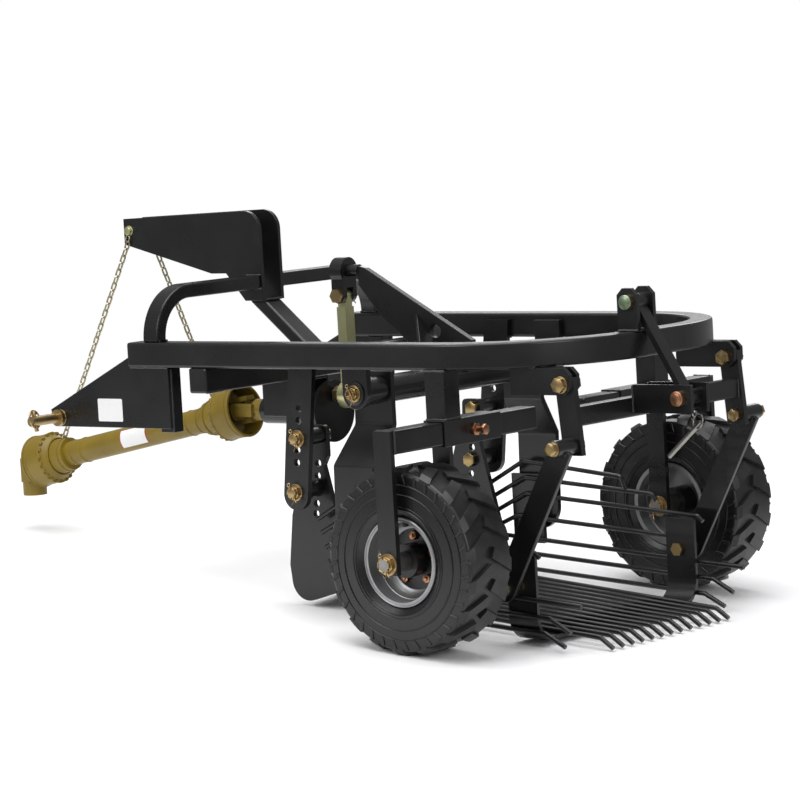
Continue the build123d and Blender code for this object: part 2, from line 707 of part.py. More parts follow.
def rear_frame():
    t = rear_plate_thickness
    arm0 = rear_arm_inner_y
    arm1 = arm0 + rear_arm_thickness
    x0, x1 = rear_bracket_rear_x, rear_bracket_front_x
    c = rear_bracket_corner
    outline = [(x1, rear_bracket_bottom_z), (x0 + c, rear_bracket_bottom_z), (x0, rear_bracket_bottom_z + c),
               (x0, rail_bottom_z - c), (x0 + c, rail_bottom_z), (x1, rail_bottom_z)]
    hole = rod_along_y(rear_bolt_x, rear_bolt_z, rear_bolt_radius, arm0 - t, arm1 + t)
    nodes["rear_brackets"] = pair(side_plate(outline, arm1, arm1 + t) - hole,
                                  side_plate(outline, arm0 - t, arm0) - hole)
    w = rear_arm_width / 2
    arm = side_plate([(rear_bolt_x - w, rear_bolt_z + c), (rear_bolt_x + w, rear_bolt_z + c),
                      (link_top_x + w, link_top_z - rear_arm_overrun),
                      (link_top_x - w, link_top_z - rear_arm_overrun)], arm0, arm1)
    top_bolt = rod_along_y(link_top_x, link_top_z, link_bolt_radius, arm0, arm1)
    nodes["rear_arms"] = pair(arm - hole - top_bolt)
    nodes["rear_bolts"] = pair(
        rod_along_y(rear_bolt_x, rear_bolt_z, rear_bolt_radius, arm0 - t - rear_bolt_head, arm1 + t + rear_bolt_tail),
        rod_along_y(link_top_x, link_top_z, link_bolt_radius, arm0 - rear_bolt_tail,
                    link_boss_end_y + link_bolt_tail))
    bar_front = rear_bar_x + rear_bar_depth
    nodes["rear_cross_bar"] = block(rear_bar_x, bar_front, -arm0, arm0, rear_bar_bottom_z,
                                    rear_bar_bottom_z + rear_bar_height)
    in0 = tie_y - tie_gap / 2
    in1 = tie_y + tie_gap / 2
    ear = block(clevis_rear_x, rear_bar_x, in1, in1 + tie_plate, clevis_bottom_z, clevis_bottom_z + clevis_height)
    ears = ear + Pos(0, -tie_gap - tie_plate, 0) * ear
    ears -= rod_along_y(tie_low_x, tie_low_z, tie_pin_radius, in0 - tie_plate, in1 + tie_plate)
    nodes["rear_clevis"] = Compound(children=ears.solids())
    x0 = top_bracket_rear_x
    x1 = x0 + top_bracket_length
    zt = rail_top_z + top_bracket_height
    c = top_bracket_chamfer
    plate = side_plate([(x0, rail_top_z), (x1, rail_top_z), (x1, zt - c), (x1 - c, zt), (x0 + c, zt), (x0, zt - c)],
                       in1, in1 + tie_plate)
    plates = plate + Pos(0, -tie_gap - tie_plate, 0) * plate
    plates -= rod_along_y(tie_top_x, tie_top_z, tie_pin_radius, in0 - tie_plate, in1 + tie_plate)
    nodes["top_bracket"] = Compound(children=plates.solids())
    ends = ((tie_top_x, tie_top_z), (tie_low_x, tie_low_z))
    line = Vector(ends[1][0] - ends[0][0], 0, ends[1][1] - ends[0][1])
    reach = tie_gap / 2 - rock_end_clearance
    tie = Plane(origin=(ends[0][0], tie_y, ends[0][1]), x_dir=(0, 1, 0), z_dir=line) * Pos(
        0, 0, line.length / 2) * Box(tie_width, tie_thickness, line.length)
    pins = []
    for x, z in ends:
        tie += rod_along_y(x, z, tie_pin_radius + tie_boss_wall, tie_y - reach, tie_y + reach)
        tie -= rod_along_y(x, z, tie_pin_radius, tie_y - reach, tie_y + reach)
        pins.append(rod_along_y(x, z, tie_pin_radius, in0 - tie_plate - tie_pin_tail, in1 + tie_plate))
        pins[-1] += rod_along_y(x, z, tie_pin_radius + tie_head_rim, in1 + tie_plate,
                                in1 + tie_plate + tie_head_height)
    nodes["tie_rod"] = tie
    nodes["tie_pins"] = Compound(children=pins)


def rear_links():
    start = rear_arm_inner_y + rear_arm_thickness + pin_clearance
    hoop_out = side_bar_y - sieve_bar_radius
    end_gap = hoop_out + 2 * sieve_bar_radius + 1
    top = rod_along_y(link_top_x, link_top_z, link_boss_radius, start, link_boss_end_y)
    low = rod_along_y(link_bottom_x, link_bottom_z, link_boss_radius, end_gap + pin_clearance,
                      link_strap_y + link_thickness)
    line = Vector(link_bottom_x - link_top_x, 0, link_bottom_z - link_top_z)
    strap = Plane(origin=(link_top_x, link_strap_y + link_thickness / 2, link_top_z), x_dir=(0, 1, 0),
                  z_dir=line) * Pos(0, 0, line.length / 2) * Box(link_thickness, link_width, line.length)
    strap += rod_along_y(link_bottom_x, link_bottom_z, link_width / 2, link_strap_y, link_strap_y + link_thickness)
    link = top + strap + low
    bore = link_bolt_radius + pin_clearance
    link -= rod_along_y(link_top_x, link_top_z, bore, start, link_boss_end_y)
    link -= rod_along_y(link_bottom_x, link_bottom_z, link_bolt_radius + link_bush_clearance, end_gap,
                        link_strap_y + link_thickness)
    nodes["rear_link_left"] = link
    nodes["rear_link_right"] = mirrored(link)
    nut_y = hoop_out - hoop_thickness
    bolt = rod_along_y(link_bottom_x, link_bottom_z, link_bolt_radius, nut_y - link_nut_width,
                       link_strap_y + link_thickness + link_bolt_tail)
    bolt += rod_along_y(link_bottom_x, link_bottom_z, link_bolt_radius + link_bolt_collar, hoop_out, end_gap)
    bolt += hexagon_along_y(link_bottom_x, link_bottom_z, link_nut_size, nut_y - link_nut_width, nut_y)
    nodes["sieve_rear_bolts"] = pair(bolt)


def sieve():
    r = sieve_bar_radius
    fall = (sieve_front_z - sieve_bend_z) / (sieve_front_x - sieve_bend_x)
    rows = []
    for i in range(sieve_bar_count):
        y = (i - (sieve_bar_count - 1) / 2) * sieve_bar_pitch
        rows.append(bent_rod([(sieve_front_x, y, sieve_front_z), (sieve_bend_x, y, sieve_bend_z),
                              (sieve_tip_x, y, sieve_tip_z)], sieve_bend_radius, r))
    under = r * math.hypot(1, fall)

    def floor_z(x):
        return sieve_bend_z + (x - sieve_bend_x) * fall - under
    width = (sieve_bar_count + 1) / 2 * sieve_bar_pitch
    rows.append(rod_along_y(sieve_cross_bar_x, floor_z(sieve_cross_bar_x) - r, r, -width, width))
    nodes["sieve_floor"] = Compound(children=[solid for row in rows for solid in row.solids()])
    outer = side_bar_y - r
    t = hoop_thickness
    corner = hoop_corner_radius
    bottom = floor_z(hoop_rear_x) - t
    path = make_face(Polyline((0, bottom), (outer, bottom), (outer, hoop_top_z), (outer - t, hoop_top_z),
                              (outer - t, bottom + t), (0, bottom + t), close=True))
    path = fillet(path.vertices().sort_by_distance((outer, bottom, 0))[0], corner)
    path = fillet(path.vertices().sort_by_distance((outer - t, bottom + t, 0))[0], corner - t)
    half = Plane(origin=(hoop_rear_x, 0, 0), x_dir=(0, 1, 0), z_dir=(1, 0, 0)) * extrude(
        path, amount=hoop_front_x - hoop_rear_x)
    wedge = side_plate([(hoop_rear_x, bottom + t), (hoop_front_x, bottom + t), (hoop_front_x, floor_z(hoop_front_x))],
                       -width, width)
    hoop = half + mirrored(half) + wedge
    hoop -= rod_along_y(link_bottom_x, link_bottom_z, link_bolt_radius, -outer, outer)
    nodes["sieve_hoop"] = hoop
    cheek = side_plate([(cheek_rear_x, cheek_bottom_z), (cheek_front_x, cheek_bottom_z),
                        (cheek_front_x, cheek_top_z), (cheek_rear_x, cheek_top_z)],
                       cheek_y, cheek_y + cheek_thickness)
    boss_end = arm_lower_y - pin_clearance
    cheek += rod_along_y(sieve_pivot_x, sieve_pivot_z, link_boss_radius, cheek_y, boss_end)
    cheek -= rod_along_y(sieve_pivot_x, sieve_pivot_z, link_bolt_radius + pin_clearance, cheek_y, boss_end)
    nodes["sieve_cheeks"] = pair(cheek)
    corner_z = bottom + corner

    def bar_y(z):
        drop = max(0, corner_z - z)
        return outer - corner + math.sqrt((corner + r) ** 2 - drop ** 2)
    bars = []
    for height, bend_x, front, rear, tip in side_bars:
        y = bar_y(height + hoop_front_x * side_bar_fall)
        points = [front]
        if bend_x:
            points.append((bend_x, height + bend_x * side_bar_fall))
        points.append(rear)
        if tip:
            points.append(tip)
        bars.append(bent_rod([(x, y, z) for x, z in points], r + 3, r))
    nodes["sieve_side_bars"] = pair(*bars)


def drive_shaft():
    rear = Pos(joint_x, 0, drive_z) * Rot(0, guard_slope, 0)
    front = rear * Pos(joint_distance, 0, 0) * Rot(0, 0, 180)

    def along(radius, x0, x1):
        return rod_along_x(0, 0, radius, x0, x1)

    def guard(rim):
        r, w = guard_drum_radius, guard_wall
        shoulder = rim + guard_drum_length
        neck = shoulder + guard_shoulder_length
        end = neck + guard_collar_length
        inner = guard_tube_radius
        with BuildSketch(Plane.XZ) as profile:
            with BuildLine():
                Polyline((rim, r), (shoulder, r), (neck, guard_collar_radius + 3), (neck, guard_collar_radius),
                         (end, guard_collar_radius - w), (end, inner), (neck, inner),
                         (neck, yoke_radius + bearing_clearance), (neck - w, yoke_radius + bearing_clearance),
                         (shoulder - w / 2, r - w), (rim, r - w), (rim, r))
            make_face()
        return revolve(profile.sketch, axis=Axis.X), neck
    rear_guard, rear_neck = guard(guard_rear_rim)
    front_guard, front_neck = guard(guard_front_rim)
    nodes["guard_rear"] = rear * rear_guard
    nodes["guard_front"] = front * front_guard
    tube_end = joint_distance - front_neck
    nodes["guard_tube"] = rear * (along(guard_tube_radius, rear_neck, tube_end)
                                  - along(guard_tube_radius - guard_wall, rear_neck, tube_end))
    gap, ear_t = yoke_ear_gap, yoke_ear_thickness
    half = yoke_ear_width / 2
    ear = block(-half, gap + ear_t, -half, half, gap, gap + ear_t)
    ear -= Cylinder(yoke_cup_radius, 4 * gap)
    base = gap + ear_t

    def fork(shape, neck):
        return along(yoke_radius, base, neck + guard_wall) + shape + mirror(shape, about=Plane.XY)
    front_ear = block(-half, gap + ear_t, -half, half, gap, gap + ear_t) - Cylinder(cross_pin_radius, 4 * gap)
    tube = rear * along(drive_tube_radius, rear_neck + guard_wall, joint_distance - front_neck - guard_wall)
    nodes["drive_tube"] = tube
    yoke = rod_along_x(0, drive_z, yoke_radius, joint_x - yoke_base, joint_x - base)
    yoke -= rod_along_x(0, drive_z, shaft_radius, joint_x - yoke_base, shaft_front_x)
    arm = block(joint_x - base - 6, joint_x + half, gap, gap + ear_t, drive_z - half, drive_z + half)
    arm -= rod_along_y(joint_x, drive_z, cross_pin_radius, gap, gap + ear_t)
    reach = 2 * (gap + ear_t) - 2
    rear_cross = Pos(joint_x, 0, drive_z) * (Rot(90, 0, 0) * Cylinder(cross_pin_radius, reach)
                                             + Cylinder(slim_pin_radius, reach - 6) + Cylinder(12, 26))
    nodes["input_yoke"] = Compound(children=[(yoke + arm + mirrored(arm)).solid(), rear_cross.solid()])
    front_cross = front * (Cylinder(cross_pin_radius, reach) + Rot(90, 0, 0) * Cylinder(cross_pin_radius, reach)
                           + Rot(90, 0, 0) * Cylinder(12, 26))
    forks = [rear * fork(ear, rear_neck), front * fork(front_ear, front_neck), front_cross]
    nodes["shaft_yokes"] = Compound(children=[shape.solid() for shape in forks])
    base = tractor_yoke_base
    ear = block(-half, base + 6, gap, gap + ear_t, -half, half)
    ear -= rod_along_y(0, 0, cross_pin_radius + bearing_clearance, gap, gap + ear_t)
    yoke = along(yoke_radius + 4, base, base + tractor_yoke_length) + ear + mirrored(ear)
    yoke -= along(yoke_bore_radius, base, base + tractor_yoke_length)
    droop = math.radians(guard_slope)
    joint = Pos(joint_x + joint_distance * math.cos(droop), 0, drive_z - joint_distance * math.sin(droop))
    nodes["tractor_yoke"] = joint * Rot(0, 90, 0) * yoke


def chain(start, end):
    """Taut chain of flat links, every second one turned a quarter."""
    w, width, length = chain_wire, chain_link_width, chain_link_length
    outer = SlotOverall(length, width)
    inner = SlotOverall(length - 2 * w, width - 2 * w)
    link = Pos(0, 0, -w / 2) * extrude(outer - inner, amount=w)
    a, b = Vector(*start), Vector(*end)
    line = b - a
    pitch = length - 2 * w
    count = int((line.length - length) / pitch) + 1
    step = (line.length - length) / (count - 1)
    along = Plane(origin=a, x_dir=line, z_dir=Vector(0, 1, 0).cross(line).cross(line))
    return [along * Pos(length / 2 + i * step, 0, 0) * Rot(90 * (i % 2), 0, 0) * link for i in range(count)]


def guard_chains():
    slope = math.radians(guard_slope)
    face = mast_gap / 2 + mast_plate_thickness + chain_wire / 2 + chain_offset

    def top_of_collar(x):
        radius = guard_collar_radius
        return drive_z - (x - joint_x) * math.tan(slope) + radius / math.cos(slope)
    front = chain((mast_chain_x, face, mast_chain_z), (guard_chain_x, 0, top_of_collar(guard_chain_x)))
    rear = chain((rear_chain_x, -face, rear_chain_z), (rear_guard_chain_x, 0, top_of_collar(rear_guard_chain_x)))
    nodes["guard_chains"] = Compound(children=front + rear)


rail_frame()
lower_hitch()
mast()
drive_line()
connecting_rod()
rocker()
hangers_and_share()
wheels()
wheel_supports()
rear_frame()
rear_links()
sieve()
drive_shaft()
guard_chains()

tilt = Rot(0, math.degrees(park_angle), 0)
boxes = [(tilt * shape).bounding_box() for shape in nodes.values()]
origin_x = (min(box.min.X for box in boxes) + max(box.max.X for box in boxes)) / 2
os.makedirs("parts", exist_ok=True)
for name, shape in nodes.items():
    export_step(Pos(-origin_x, 0, park_lift) * tilt * shape, f"parts/{name}.step")
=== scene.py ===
import json
import math
import random

import bmesh
import bpy
from mathutils import Matrix, Vector


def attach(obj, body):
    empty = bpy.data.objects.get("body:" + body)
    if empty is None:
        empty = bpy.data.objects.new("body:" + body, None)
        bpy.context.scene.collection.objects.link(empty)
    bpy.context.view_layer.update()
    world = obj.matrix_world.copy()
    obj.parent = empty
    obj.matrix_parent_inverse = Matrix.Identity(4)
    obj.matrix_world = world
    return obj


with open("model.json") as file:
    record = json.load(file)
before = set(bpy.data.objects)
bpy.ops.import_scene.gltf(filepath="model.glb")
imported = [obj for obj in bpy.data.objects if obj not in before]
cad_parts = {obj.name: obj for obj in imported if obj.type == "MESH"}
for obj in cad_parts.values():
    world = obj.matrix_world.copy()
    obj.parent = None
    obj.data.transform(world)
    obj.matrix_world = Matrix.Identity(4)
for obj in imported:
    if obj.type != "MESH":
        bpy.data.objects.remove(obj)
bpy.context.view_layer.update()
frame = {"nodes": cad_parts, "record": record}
nodes = frame["nodes"]
random.seed(7)

# The digger is drawn with its rails level, in millimetres, and parked nose-down on its share
parked = {"angle": 5.112403333726746, "originX": 596.6915978532047, "lift": 0.7558583187}
parkedMatrix = (Matrix.Translation((-parked["originX"] / 1000, 0, parked["lift"] / 1000))
                @ Matrix.Rotation(math.radians(parked["angle"]), 4, "Y") @ Matrix.Scale(0.001, 4))

# Centres that several pieces share on the drawn machine: x and z in millimetres
centres = {
    "axle": (0, 190), "rockerPin": (250, 506), "shareUpper": (413.5, 409), "shareLower": (427, 295),
    "linkTop": (-257, 526), "linkFoot": (-271, 403), "sieveFront": (285, 190), "sieveRear": (-110, 112),
    "fork": (549, 683), "clevis": (-396, 479), "topBracket": (-280, 674), "mastBolt": (1144, 834),
    "hitchPin": (1060, 448),
}
tyreMiddle = 466  # y of the tyre's middle


def spot(name, y):  # the point at a shared centre and a distance across the machine
    x, z = centres[name]
    return Vector((x, y, z))


class Signal:  # a socket that adds Math nodes when it is used in a sum
    def __init__(self, finish, socket):
        self.finish = finish
        self.socket = socket

    def join(self, operation, first, second):
        node = self.finish.add("ShaderNodeMath", {"operation": operation}, {0: first, 1: second})
        return Signal(self.finish, node.outputs[0])

    def __add__(self, other):
        return self.join("ADD", self, other)

    def __sub__(self, other):
        return self.join("SUBTRACT", self, other)

    def __rsub__(self, other):
        return self.join("SUBTRACT", other, self)

    def __mul__(self, other):
        return self.join("MULTIPLY", self, other)

    __radd__ = __add__
    __rmul__ = __mul__


class Finish:  # one material and the nodes that make it
    def __init__(self, name, metallic=0.0, roughness=0.5, coat=0.0, specular=0.5):
        self.material = bpy.data.materials.new(name)
        self.material.use_nodes = True
        self.tree = self.material.node_tree
        self.shader = self.tree.nodes["Principled BSDF"]
        self.shader.inputs["Metallic"].default_value = metallic
        self.shader.inputs["Roughness"].default_value = roughness
        self.shader.inputs["Coat Weight"].default_value = coat
        self.shader.inputs["Specular IOR Level"].default_value = specular
        self.place = Signal(self, self.add("ShaderNodeTexCoord", {}, {}).outputs["Object"])

    def add(self, kind, settings, sockets):
        node = self.tree.nodes.new(kind)
        for key, value in settings.items():
            setattr(node, key, value)
        for key, value in sockets.items():
            if isinstance(value, Signal):
                self.tree.links.new(value.socket, node.inputs[key])
            else:
                node.inputs[key].default_value = value
        return node

    def noise(self, scale, detail, rough=0.55):  # cloudy values from 0 to 1
        node = self.add("ShaderNodeTexNoise", {}, {
            "Vector": self.place, "Scale": scale, "Detail": detail, "Roughness": rough})
        return Signal(self, node.outputs["Fac"])

    def step(self, value, low, high):  # 0 below the low value and 1 above the high one
        node = self.add("ShaderNodeMapRange", {"clamp": True}, {
            "Value": value, "From Min": low, "From Max": high, "To Min": 0.0, "To Max": 1.0})
        return Signal(self, node.outputs["Result"])

    def mix(self, mask, first, second):  # the second colour shows where the mask is 1
        sides = {0: mask}
        for key, colour in ((6, first), (7, second)):  # a Mix node's two colour sockets
            sides[key] = colour if isinstance(colour, Signal) else (*colour, 1)
        return Signal(self, self.add("ShaderNodeMix", {"data_type": "RGBA"}, sides).outputs[2])

    def axis(self, centre=(0, 0, 0)):  # x, y and z in metres from a centre
        moved = self.add("ShaderNodeMapping", {}, {"Vector": self.place, "Location": [-c for c in centre]})
        split = self.add("ShaderNodeSeparateXYZ", {}, {"Vector": Signal(self, moved.outputs[0])})
        return [Signal(self, split.outputs[i]) for i in range(3)]

    def feed(self, socket, value):
        self.tree.links.new(value.socket, self.shader.inputs[socket])

    def bump(self, height, distance, strength):
        node = self.add("ShaderNodeBump", {}, {"Height": height, "Distance": distance, "Strength": strength})
        self.feed("Normal", Signal(self, node.outputs["Normal"]))


# Satin black paint with slight orange peel, and dust on its lowest stretch
blackPaint = {
    "colour": (0.0042, 0.0043, 0.0048), "worn": (0.0082, 0.0083, 0.009), "dust": (0.028, 0.027, 0.025),
    "wornRange": (0.45, 0.75), "dustRange": (0.6, 0.8), "dustShare": 0.3, "dustHeight": 0.34, "cloud": 9,
    "dustGrain": 150, "peel": 420, "peelDepth": 0.00018, "gloss": 0.29, "glossSpread": 0.11, "coat": 0.08,
    "cloudDull": 0.14, "grainDull": 0.1,
}


def makeBlackPaint():
    finish = Finish("satinBlackPaint", roughness=blackPaint["gloss"], coat=blackPaint["coat"], specular=0.46)
    cloud = finish.noise(blackPaint["cloud"], 4)
    fine = finish.noise(blackPaint["dustGrain"], 5, 0.7)
    height = finish.axis()[2]
    low = finish.step(blackPaint["dustHeight"] - height, 0.0, blackPaint["dustHeight"])
    worn = finish.step(cloud, *blackPaint["wornRange"])
    dusty = finish.step(fine, *blackPaint["dustRange"]) * low * blackPaint["dustShare"]
    colour = finish.mix(worn, blackPaint["colour"], blackPaint["worn"])
    finish.feed("Base Color", finish.mix(dusty, colour, blackPaint["dust"]))
    smoothest = blackPaint["gloss"] - blackPaint["glossSpread"]
    finish.feed("Roughness", cloud * blackPaint["cloudDull"] + fine * blackPaint["grainDull"] + smoothest)
    finish.bump(finish.noise(blackPaint["peel"], 2), blackPaint["peelDepth"], 0.5)
    return finish.material


# Rubber with glossy walls and a scuffed tread, told apart by the distance from the axle in metres
tyreRubber = {
    "colour": (0.005, 0.005, 0.0053), "scuff": (0.021, 0.0205, 0.02), "speck": (0.05, 0.049, 0.047),
    "scuffRange": (0.35, 0.75), "scuffShare": 0.75, "speckRange": (0.62, 0.75), "speckShare": 0.3,
    "wallRadius": 0.168, "treadRadius": 0.188, "grain": 260, "cloud": 24, "grainDepth": 0.0004,
    "gloss": 0.23, "treadDull": 0.16, "grainDull": 0.12,
}


def makeTyreRubber():
    finish = Finish("tyreRubber", roughness=0.46, specular=0.45)
    axle = parkedMatrix @ spot("axle", tyreMiddle)
    x, y, z = finish.axis((axle.x, 0, axle.z))
    square = x * x + z * z
    grain = finish.noise(tyreRubber["grain"], 4, 0.65)
    cloud = finish.noise(tyreRubber["cloud"], 3)
    tread = finish.step(square, tyreRubber["wallRadius"] ** 2, tyreRubber["treadRadius"] ** 2)
    scuffed = tread * finish.step(cloud, *tyreRubber["scuffRange"]) * tyreRubber["scuffShare"]
    specked = finish.step(grain, *tyreRubber["speckRange"]) * tyreRubber["speckShare"]
    colour = finish.mix(scuffed, tyreRubber["colour"], tyreRubber["scuff"])
    finish.feed("Base Color", finish.mix(specked, colour, tyreRubber["speck"]))
    dull = tread * tyreRubber["treadDull"] + grain * tyreRubber["grainDull"]
    finish.feed("Roughness", dull + tyreRubber["gloss"])
    finish.bump(grain, tyreRubber["grainDepth"], 0.7)
    return finish.material


# Plated and bare metals: the two colours of their clouds, metallic, roughness, cloud scale and grain depth
metals = {
    "wheel_silver": ("rimSilver", (0.30, 0.304, 0.308), (0.23, 0.23, 0.234), 0.65, 0.36, 30, 0.00015),
    "yellow_zinc": ("yellowZinc", (0.40, 0.295, 0.125), (0.34, 0.215, 0.145), 1.0, 0.32, 55, 0.00015),
    "zinc": ("chainZinc", (0.46, 0.42, 0.29), (0.33, 0.30, 0.20), 1.0, 0.36, 80, 0.00015),
    "bare_steel": ("bareSteel", (0.30, 0.29, 0.27), (0.19, 0.18, 0.165), 1.0, 0.36, 45, 0.00015),
    "copper": ("copperZinc", (0.46, 0.215, 0.12), (0.38, 0.25, 0.15), 1.0, 0.32, 60, 0.00015),
    "green": ("greenZinc", (0.26, 0.36, 0.25), (0.40, 0.40, 0.24), 1.0, 0.32, 50, 0.00015),
    "rodZinc": ("rodZinc", (0.56, 0.53, 0.29), (0.44, 0.49, 0.27), 0.9, 0.32, 35, 0.00015),
    "castYoke": ("castYoke", (0.25, 0.175, 0.03), (0.19, 0.135, 0.025), 0.55, 0.4, 60, 0.0004),
    "darkBore": ("shadedBore", (0.02, 0.02, 0.02), (0.012, 0.012, 0.012), 0.3, 0.6, 60, 0.00015),
}
metalLook = {"tintRange": (0.38, 0.68), "tintShare": 0.6, "grainPerCloud": 9, "grainDull": 0.16}


def makeMetal(name, colour, tint, metallic, gloss, scale, depth):
    finish = Finish(name, metallic=metallic, roughness=gloss)
    cloud = finish.noise(scale, 3)
    fine = finish.noise(scale * metalLook["grainPerCloud"], 4, 0.6)
    tinted = finish.step(cloud, *metalLook["tintRange"]) * metalLook["tintShare"]
    finish.feed("Base Color", finish.mix(tinted, colour, tint))
    finish.feed("Roughness", fine * metalLook["grainDull"] + (gloss - metalLook["grainDull"] / 2))
    finish.bump(fine, depth, 0.6)
    return finish.material


# Yellow guard plastic with darker clouds and dirt specks
guardPlastic = {
    "colour": (0.196, 0.133, 0.012), "shade": (0.152, 0.103, 0.010), "speck": (0.12, 0.09, 0.03),
    "shadeRange": (0.35, 0.7), "speckRange": (0.66, 0.78), "speckShare": 0.35,
    "cloud": 14, "grain": 190, "grainDepth": 0.0002, "gloss": 0.33, "grainDull": 0.18,
}


def makeGuardPlastic():
    finish = Finish("guardPlastic", roughness=0.42, specular=0.36)
    cloud = finish.noise(guardPlastic["cloud"], 3)
    speck = finish.noise(guardPlastic["grain"], 4, 0.7)
    shaded = finish.step(cloud, *guardPlastic["shadeRange"])
    specked = finish.step(speck, *guardPlastic["speckRange"]) * guardPlastic["speckShare"]
    colour = finish.mix(shaded, guardPlastic["colour"], guardPlastic["shade"])
    finish.feed("Base Color", finish.mix(specked, colour, guardPlastic["speck"]))
    finish.feed("Roughness", speck * guardPlastic["grainDull"] + guardPlastic["gloss"])
    finish.bump(speck, guardPlastic["grainDepth"], 0.5)
    return finish.material


stickerPaper = {"grain": 120, "wornRange": (0.55, 0.75), "wornShare": 0.35, "wornShade": 0.8, "gloss": 0.28,
                "grainDull": 0.15, "grainDepth": 0.00005}


def makeSticker(name, colour):
    finish = Finish(name, roughness=0.35)
    wear = finish.noise(stickerPaper["grain"], 4)
    mask = finish.step(wear, *stickerPaper["wornRange"]) * stickerPaper["wornShare"]
    finish.feed("Base Color", finish.mix(mask, colour, tuple(stickerPaper["wornShade"] * c for c in colour)))
    finish.feed("Roughness", wear * stickerPaper["grainDull"] + stickerPaper["gloss"])
    finish.bump(wear, stickerPaper["grainDepth"], 0.4)
    return finish.material


paintedWeld = {"colour": (0.012, 0.0125, 0.014), "crest": (0.03, 0.031, 0.033), "ripple": 330,
               "depth": 0.0012, "gloss": 0.27, "rippleDull": 0.2}


def makeWeld():
    finish = Finish("paintedWeld", roughness=0.36, coat=0.1)
    ripple = finish.noise(paintedWeld["ripple"], 2)
    finish.feed("Base Color", finish.mix(ripple, paintedWeld["colour"], paintedWeld["crest"]))
    finish.feed("Roughness", ripple * paintedWeld["rippleDull"] + paintedWeld["gloss"])
    finish.bump(ripple, paintedWeld["depth"], 0.9)
    return finish.material


finishes = {name: makeMetal(*row) for name, row in metals.items()}
finishes.update({
    "black_paint": makeBlackPaint(),
    "tyre_rubber": makeTyreRubber(),
    "guard_yellow": makeGuardPlastic(),
    "weld": makeWeld(),
    "label": makeSticker("blankLabel", (0.74, 0.74, 0.735)),
    "redEdge": makeSticker("redLabelEdge", (0.30, 0.03, 0.025)),
})
print("materials made:", len(finishes))

# Nodes whose finish differs from that of their slot
shades = {"connecting_rod": "rodZinc", "tractor_yoke": "guard_yellow", "input_yoke": "castYoke",
          "shaft_yokes": "castYoke", "share_bolts": "black_paint"}
for part in frame["record"]["subparts"]:
    mesh = nodes[part["node"]].data
    mesh.materials.clear()
    mesh.materials.append(finishes[shades.get(part["node"], part["material_slot"])])
    mesh.polygons.foreach_set("material_index", [0] * len(mesh.polygons))

# Rolled and cut edges on the steel: node and radius in millimetres
edgeRadii = {
    "u_rail": 6, "front_cross_tube": 5, "mast_arches": 5, "mast_brace": 5, "wheel_beams": 4,
    "wheel_sleeves": 4, "rear_cross_bar": 4, "connecting_rod": 2.5, "rod_knuckle": 2, "rocker_lever": 2,
    "rocker_arms": 2, "rear_link_left": 2, "rear_link_right": 2, "tie_rod": 2, "wheel_arms": 2,
    "share_straps": 1.8, "share_sides": 1.8, "hangers": 1.8, "sieve_cheeks": 1.8, "share_blade": 1.6,
    "mast_plates": 1.6, "hitch_plates": 1.6, "drive_bracket": 1.6, "rear_brackets": 1.6, "rear_clevis": 1.6,
    "top_bracket": 1.6, "lever_gussets": 1.5, "sieve_hoop": 1.5, "tractor_yoke": 1.5, "rear_arms": 1.2,
    "input_yoke": 1.2, "shaft_yokes": 1.2,
}
# In metres, degrees and millimetres; an edge over the wide radius gets three steps
softening = {"joinWithin": 0.00002, "flatAngle": 0.8, "sharpAngle": 38, "wideRadius": 3}
for name, radius in edgeRadii.items():
    piece = nodes[name]
    weld = piece.modifiers.new("joined", "WELD")
    weld.merge_threshold = softening["joinWithin"]
    flat = piece.modifiers.new("flat", "DECIMATE")
    flat.decimate_type = "DISSOLVE"
    flat.angle_limit = math.radians(softening["flatAngle"])
    soft = piece.modifiers.new("softEdges", "BEVEL")
    soft.width = radius / 1000
    soft.segments = 3 if radius > softening["wideRadius"] else 2
    soft.limit_method = "ANGLE"
    soft.angle_limit = math.radians(softening["sharpAngle"])
    soft.use_clamp_overlap = True
    soft.harden_normals = False
    shade = piece.modifiers.new("shade", "WEIGHTED_NORMAL")
    shade.keep_sharp = True
print("edges softened:", len(edgeRadii))

axes = {"x": Vector((1, 0, 0)), "y": Vector((0, 1, 0)), "z": Vector((0, 0, 1))}


def standing(centre, direction):  # a matrix that stands local z along a direction
    turn = axes["z"].rotation_difference(Vector(direction).normalized())
    return Matrix.Translation(centre) @ turn.to_matrix().to_4x4()


def edgesOf(parts):  # each edge of some vertices or faces once
    return list(dict.fromkeys(e for part in parts for e in (
        part.link_edges if isinstance(part, bmesh.types.BMVert) else part.edges)))


def soften(bm, edges, width, steps=2):  # rounds some edges over
    bmesh.ops.bevel(bm, geom=edges, offset=width, offset_type="OFFSET", segments=steps, profile=0.5,
                    affect="EDGES", material=-1)


def addRound(bm, centre, direction, radius, length, sides=24, soft=0.0):  # a round bar about its middle
    made = bmesh.ops.create_cone(bm, cap_ends=True, segments=sides, radius1=radius, radius2=radius,
                                 depth=length, matrix=standing(centre, direction))["verts"]
    if soft:
        faces = dict.fromkeys(f for v in made for f in v.link_faces)
        soften(bm, edgesOf([f for f in faces if len(f.verts) == sides]), soft)


def addRounds(bm, centre, rows):  # rounds in line: y, radius, length, sides and edge of each
    for y, radius, length, sides, soft in rows:
        addRound(bm, spot(centre, y), axes["y"], radius, length, sides, soft=soft)


hexEdge = 0.035  # rounding of a hexagon's edges, as a share of its width across flats


def addHex(bm, centre, direction, across, length, turn=0.0):
    place = standing(centre, direction) @ Matrix.Rotation(math.radians(turn), 4, "Z")
    radius = across / math.sqrt(3)
    made = bmesh.ops.create_cone(bm, cap_ends=True, segments=6, radius1=radius, radius2=radius,
                                 depth=length, matrix=place)["verts"]
    soften(bm, edgesOf(made), across * hexEdge)


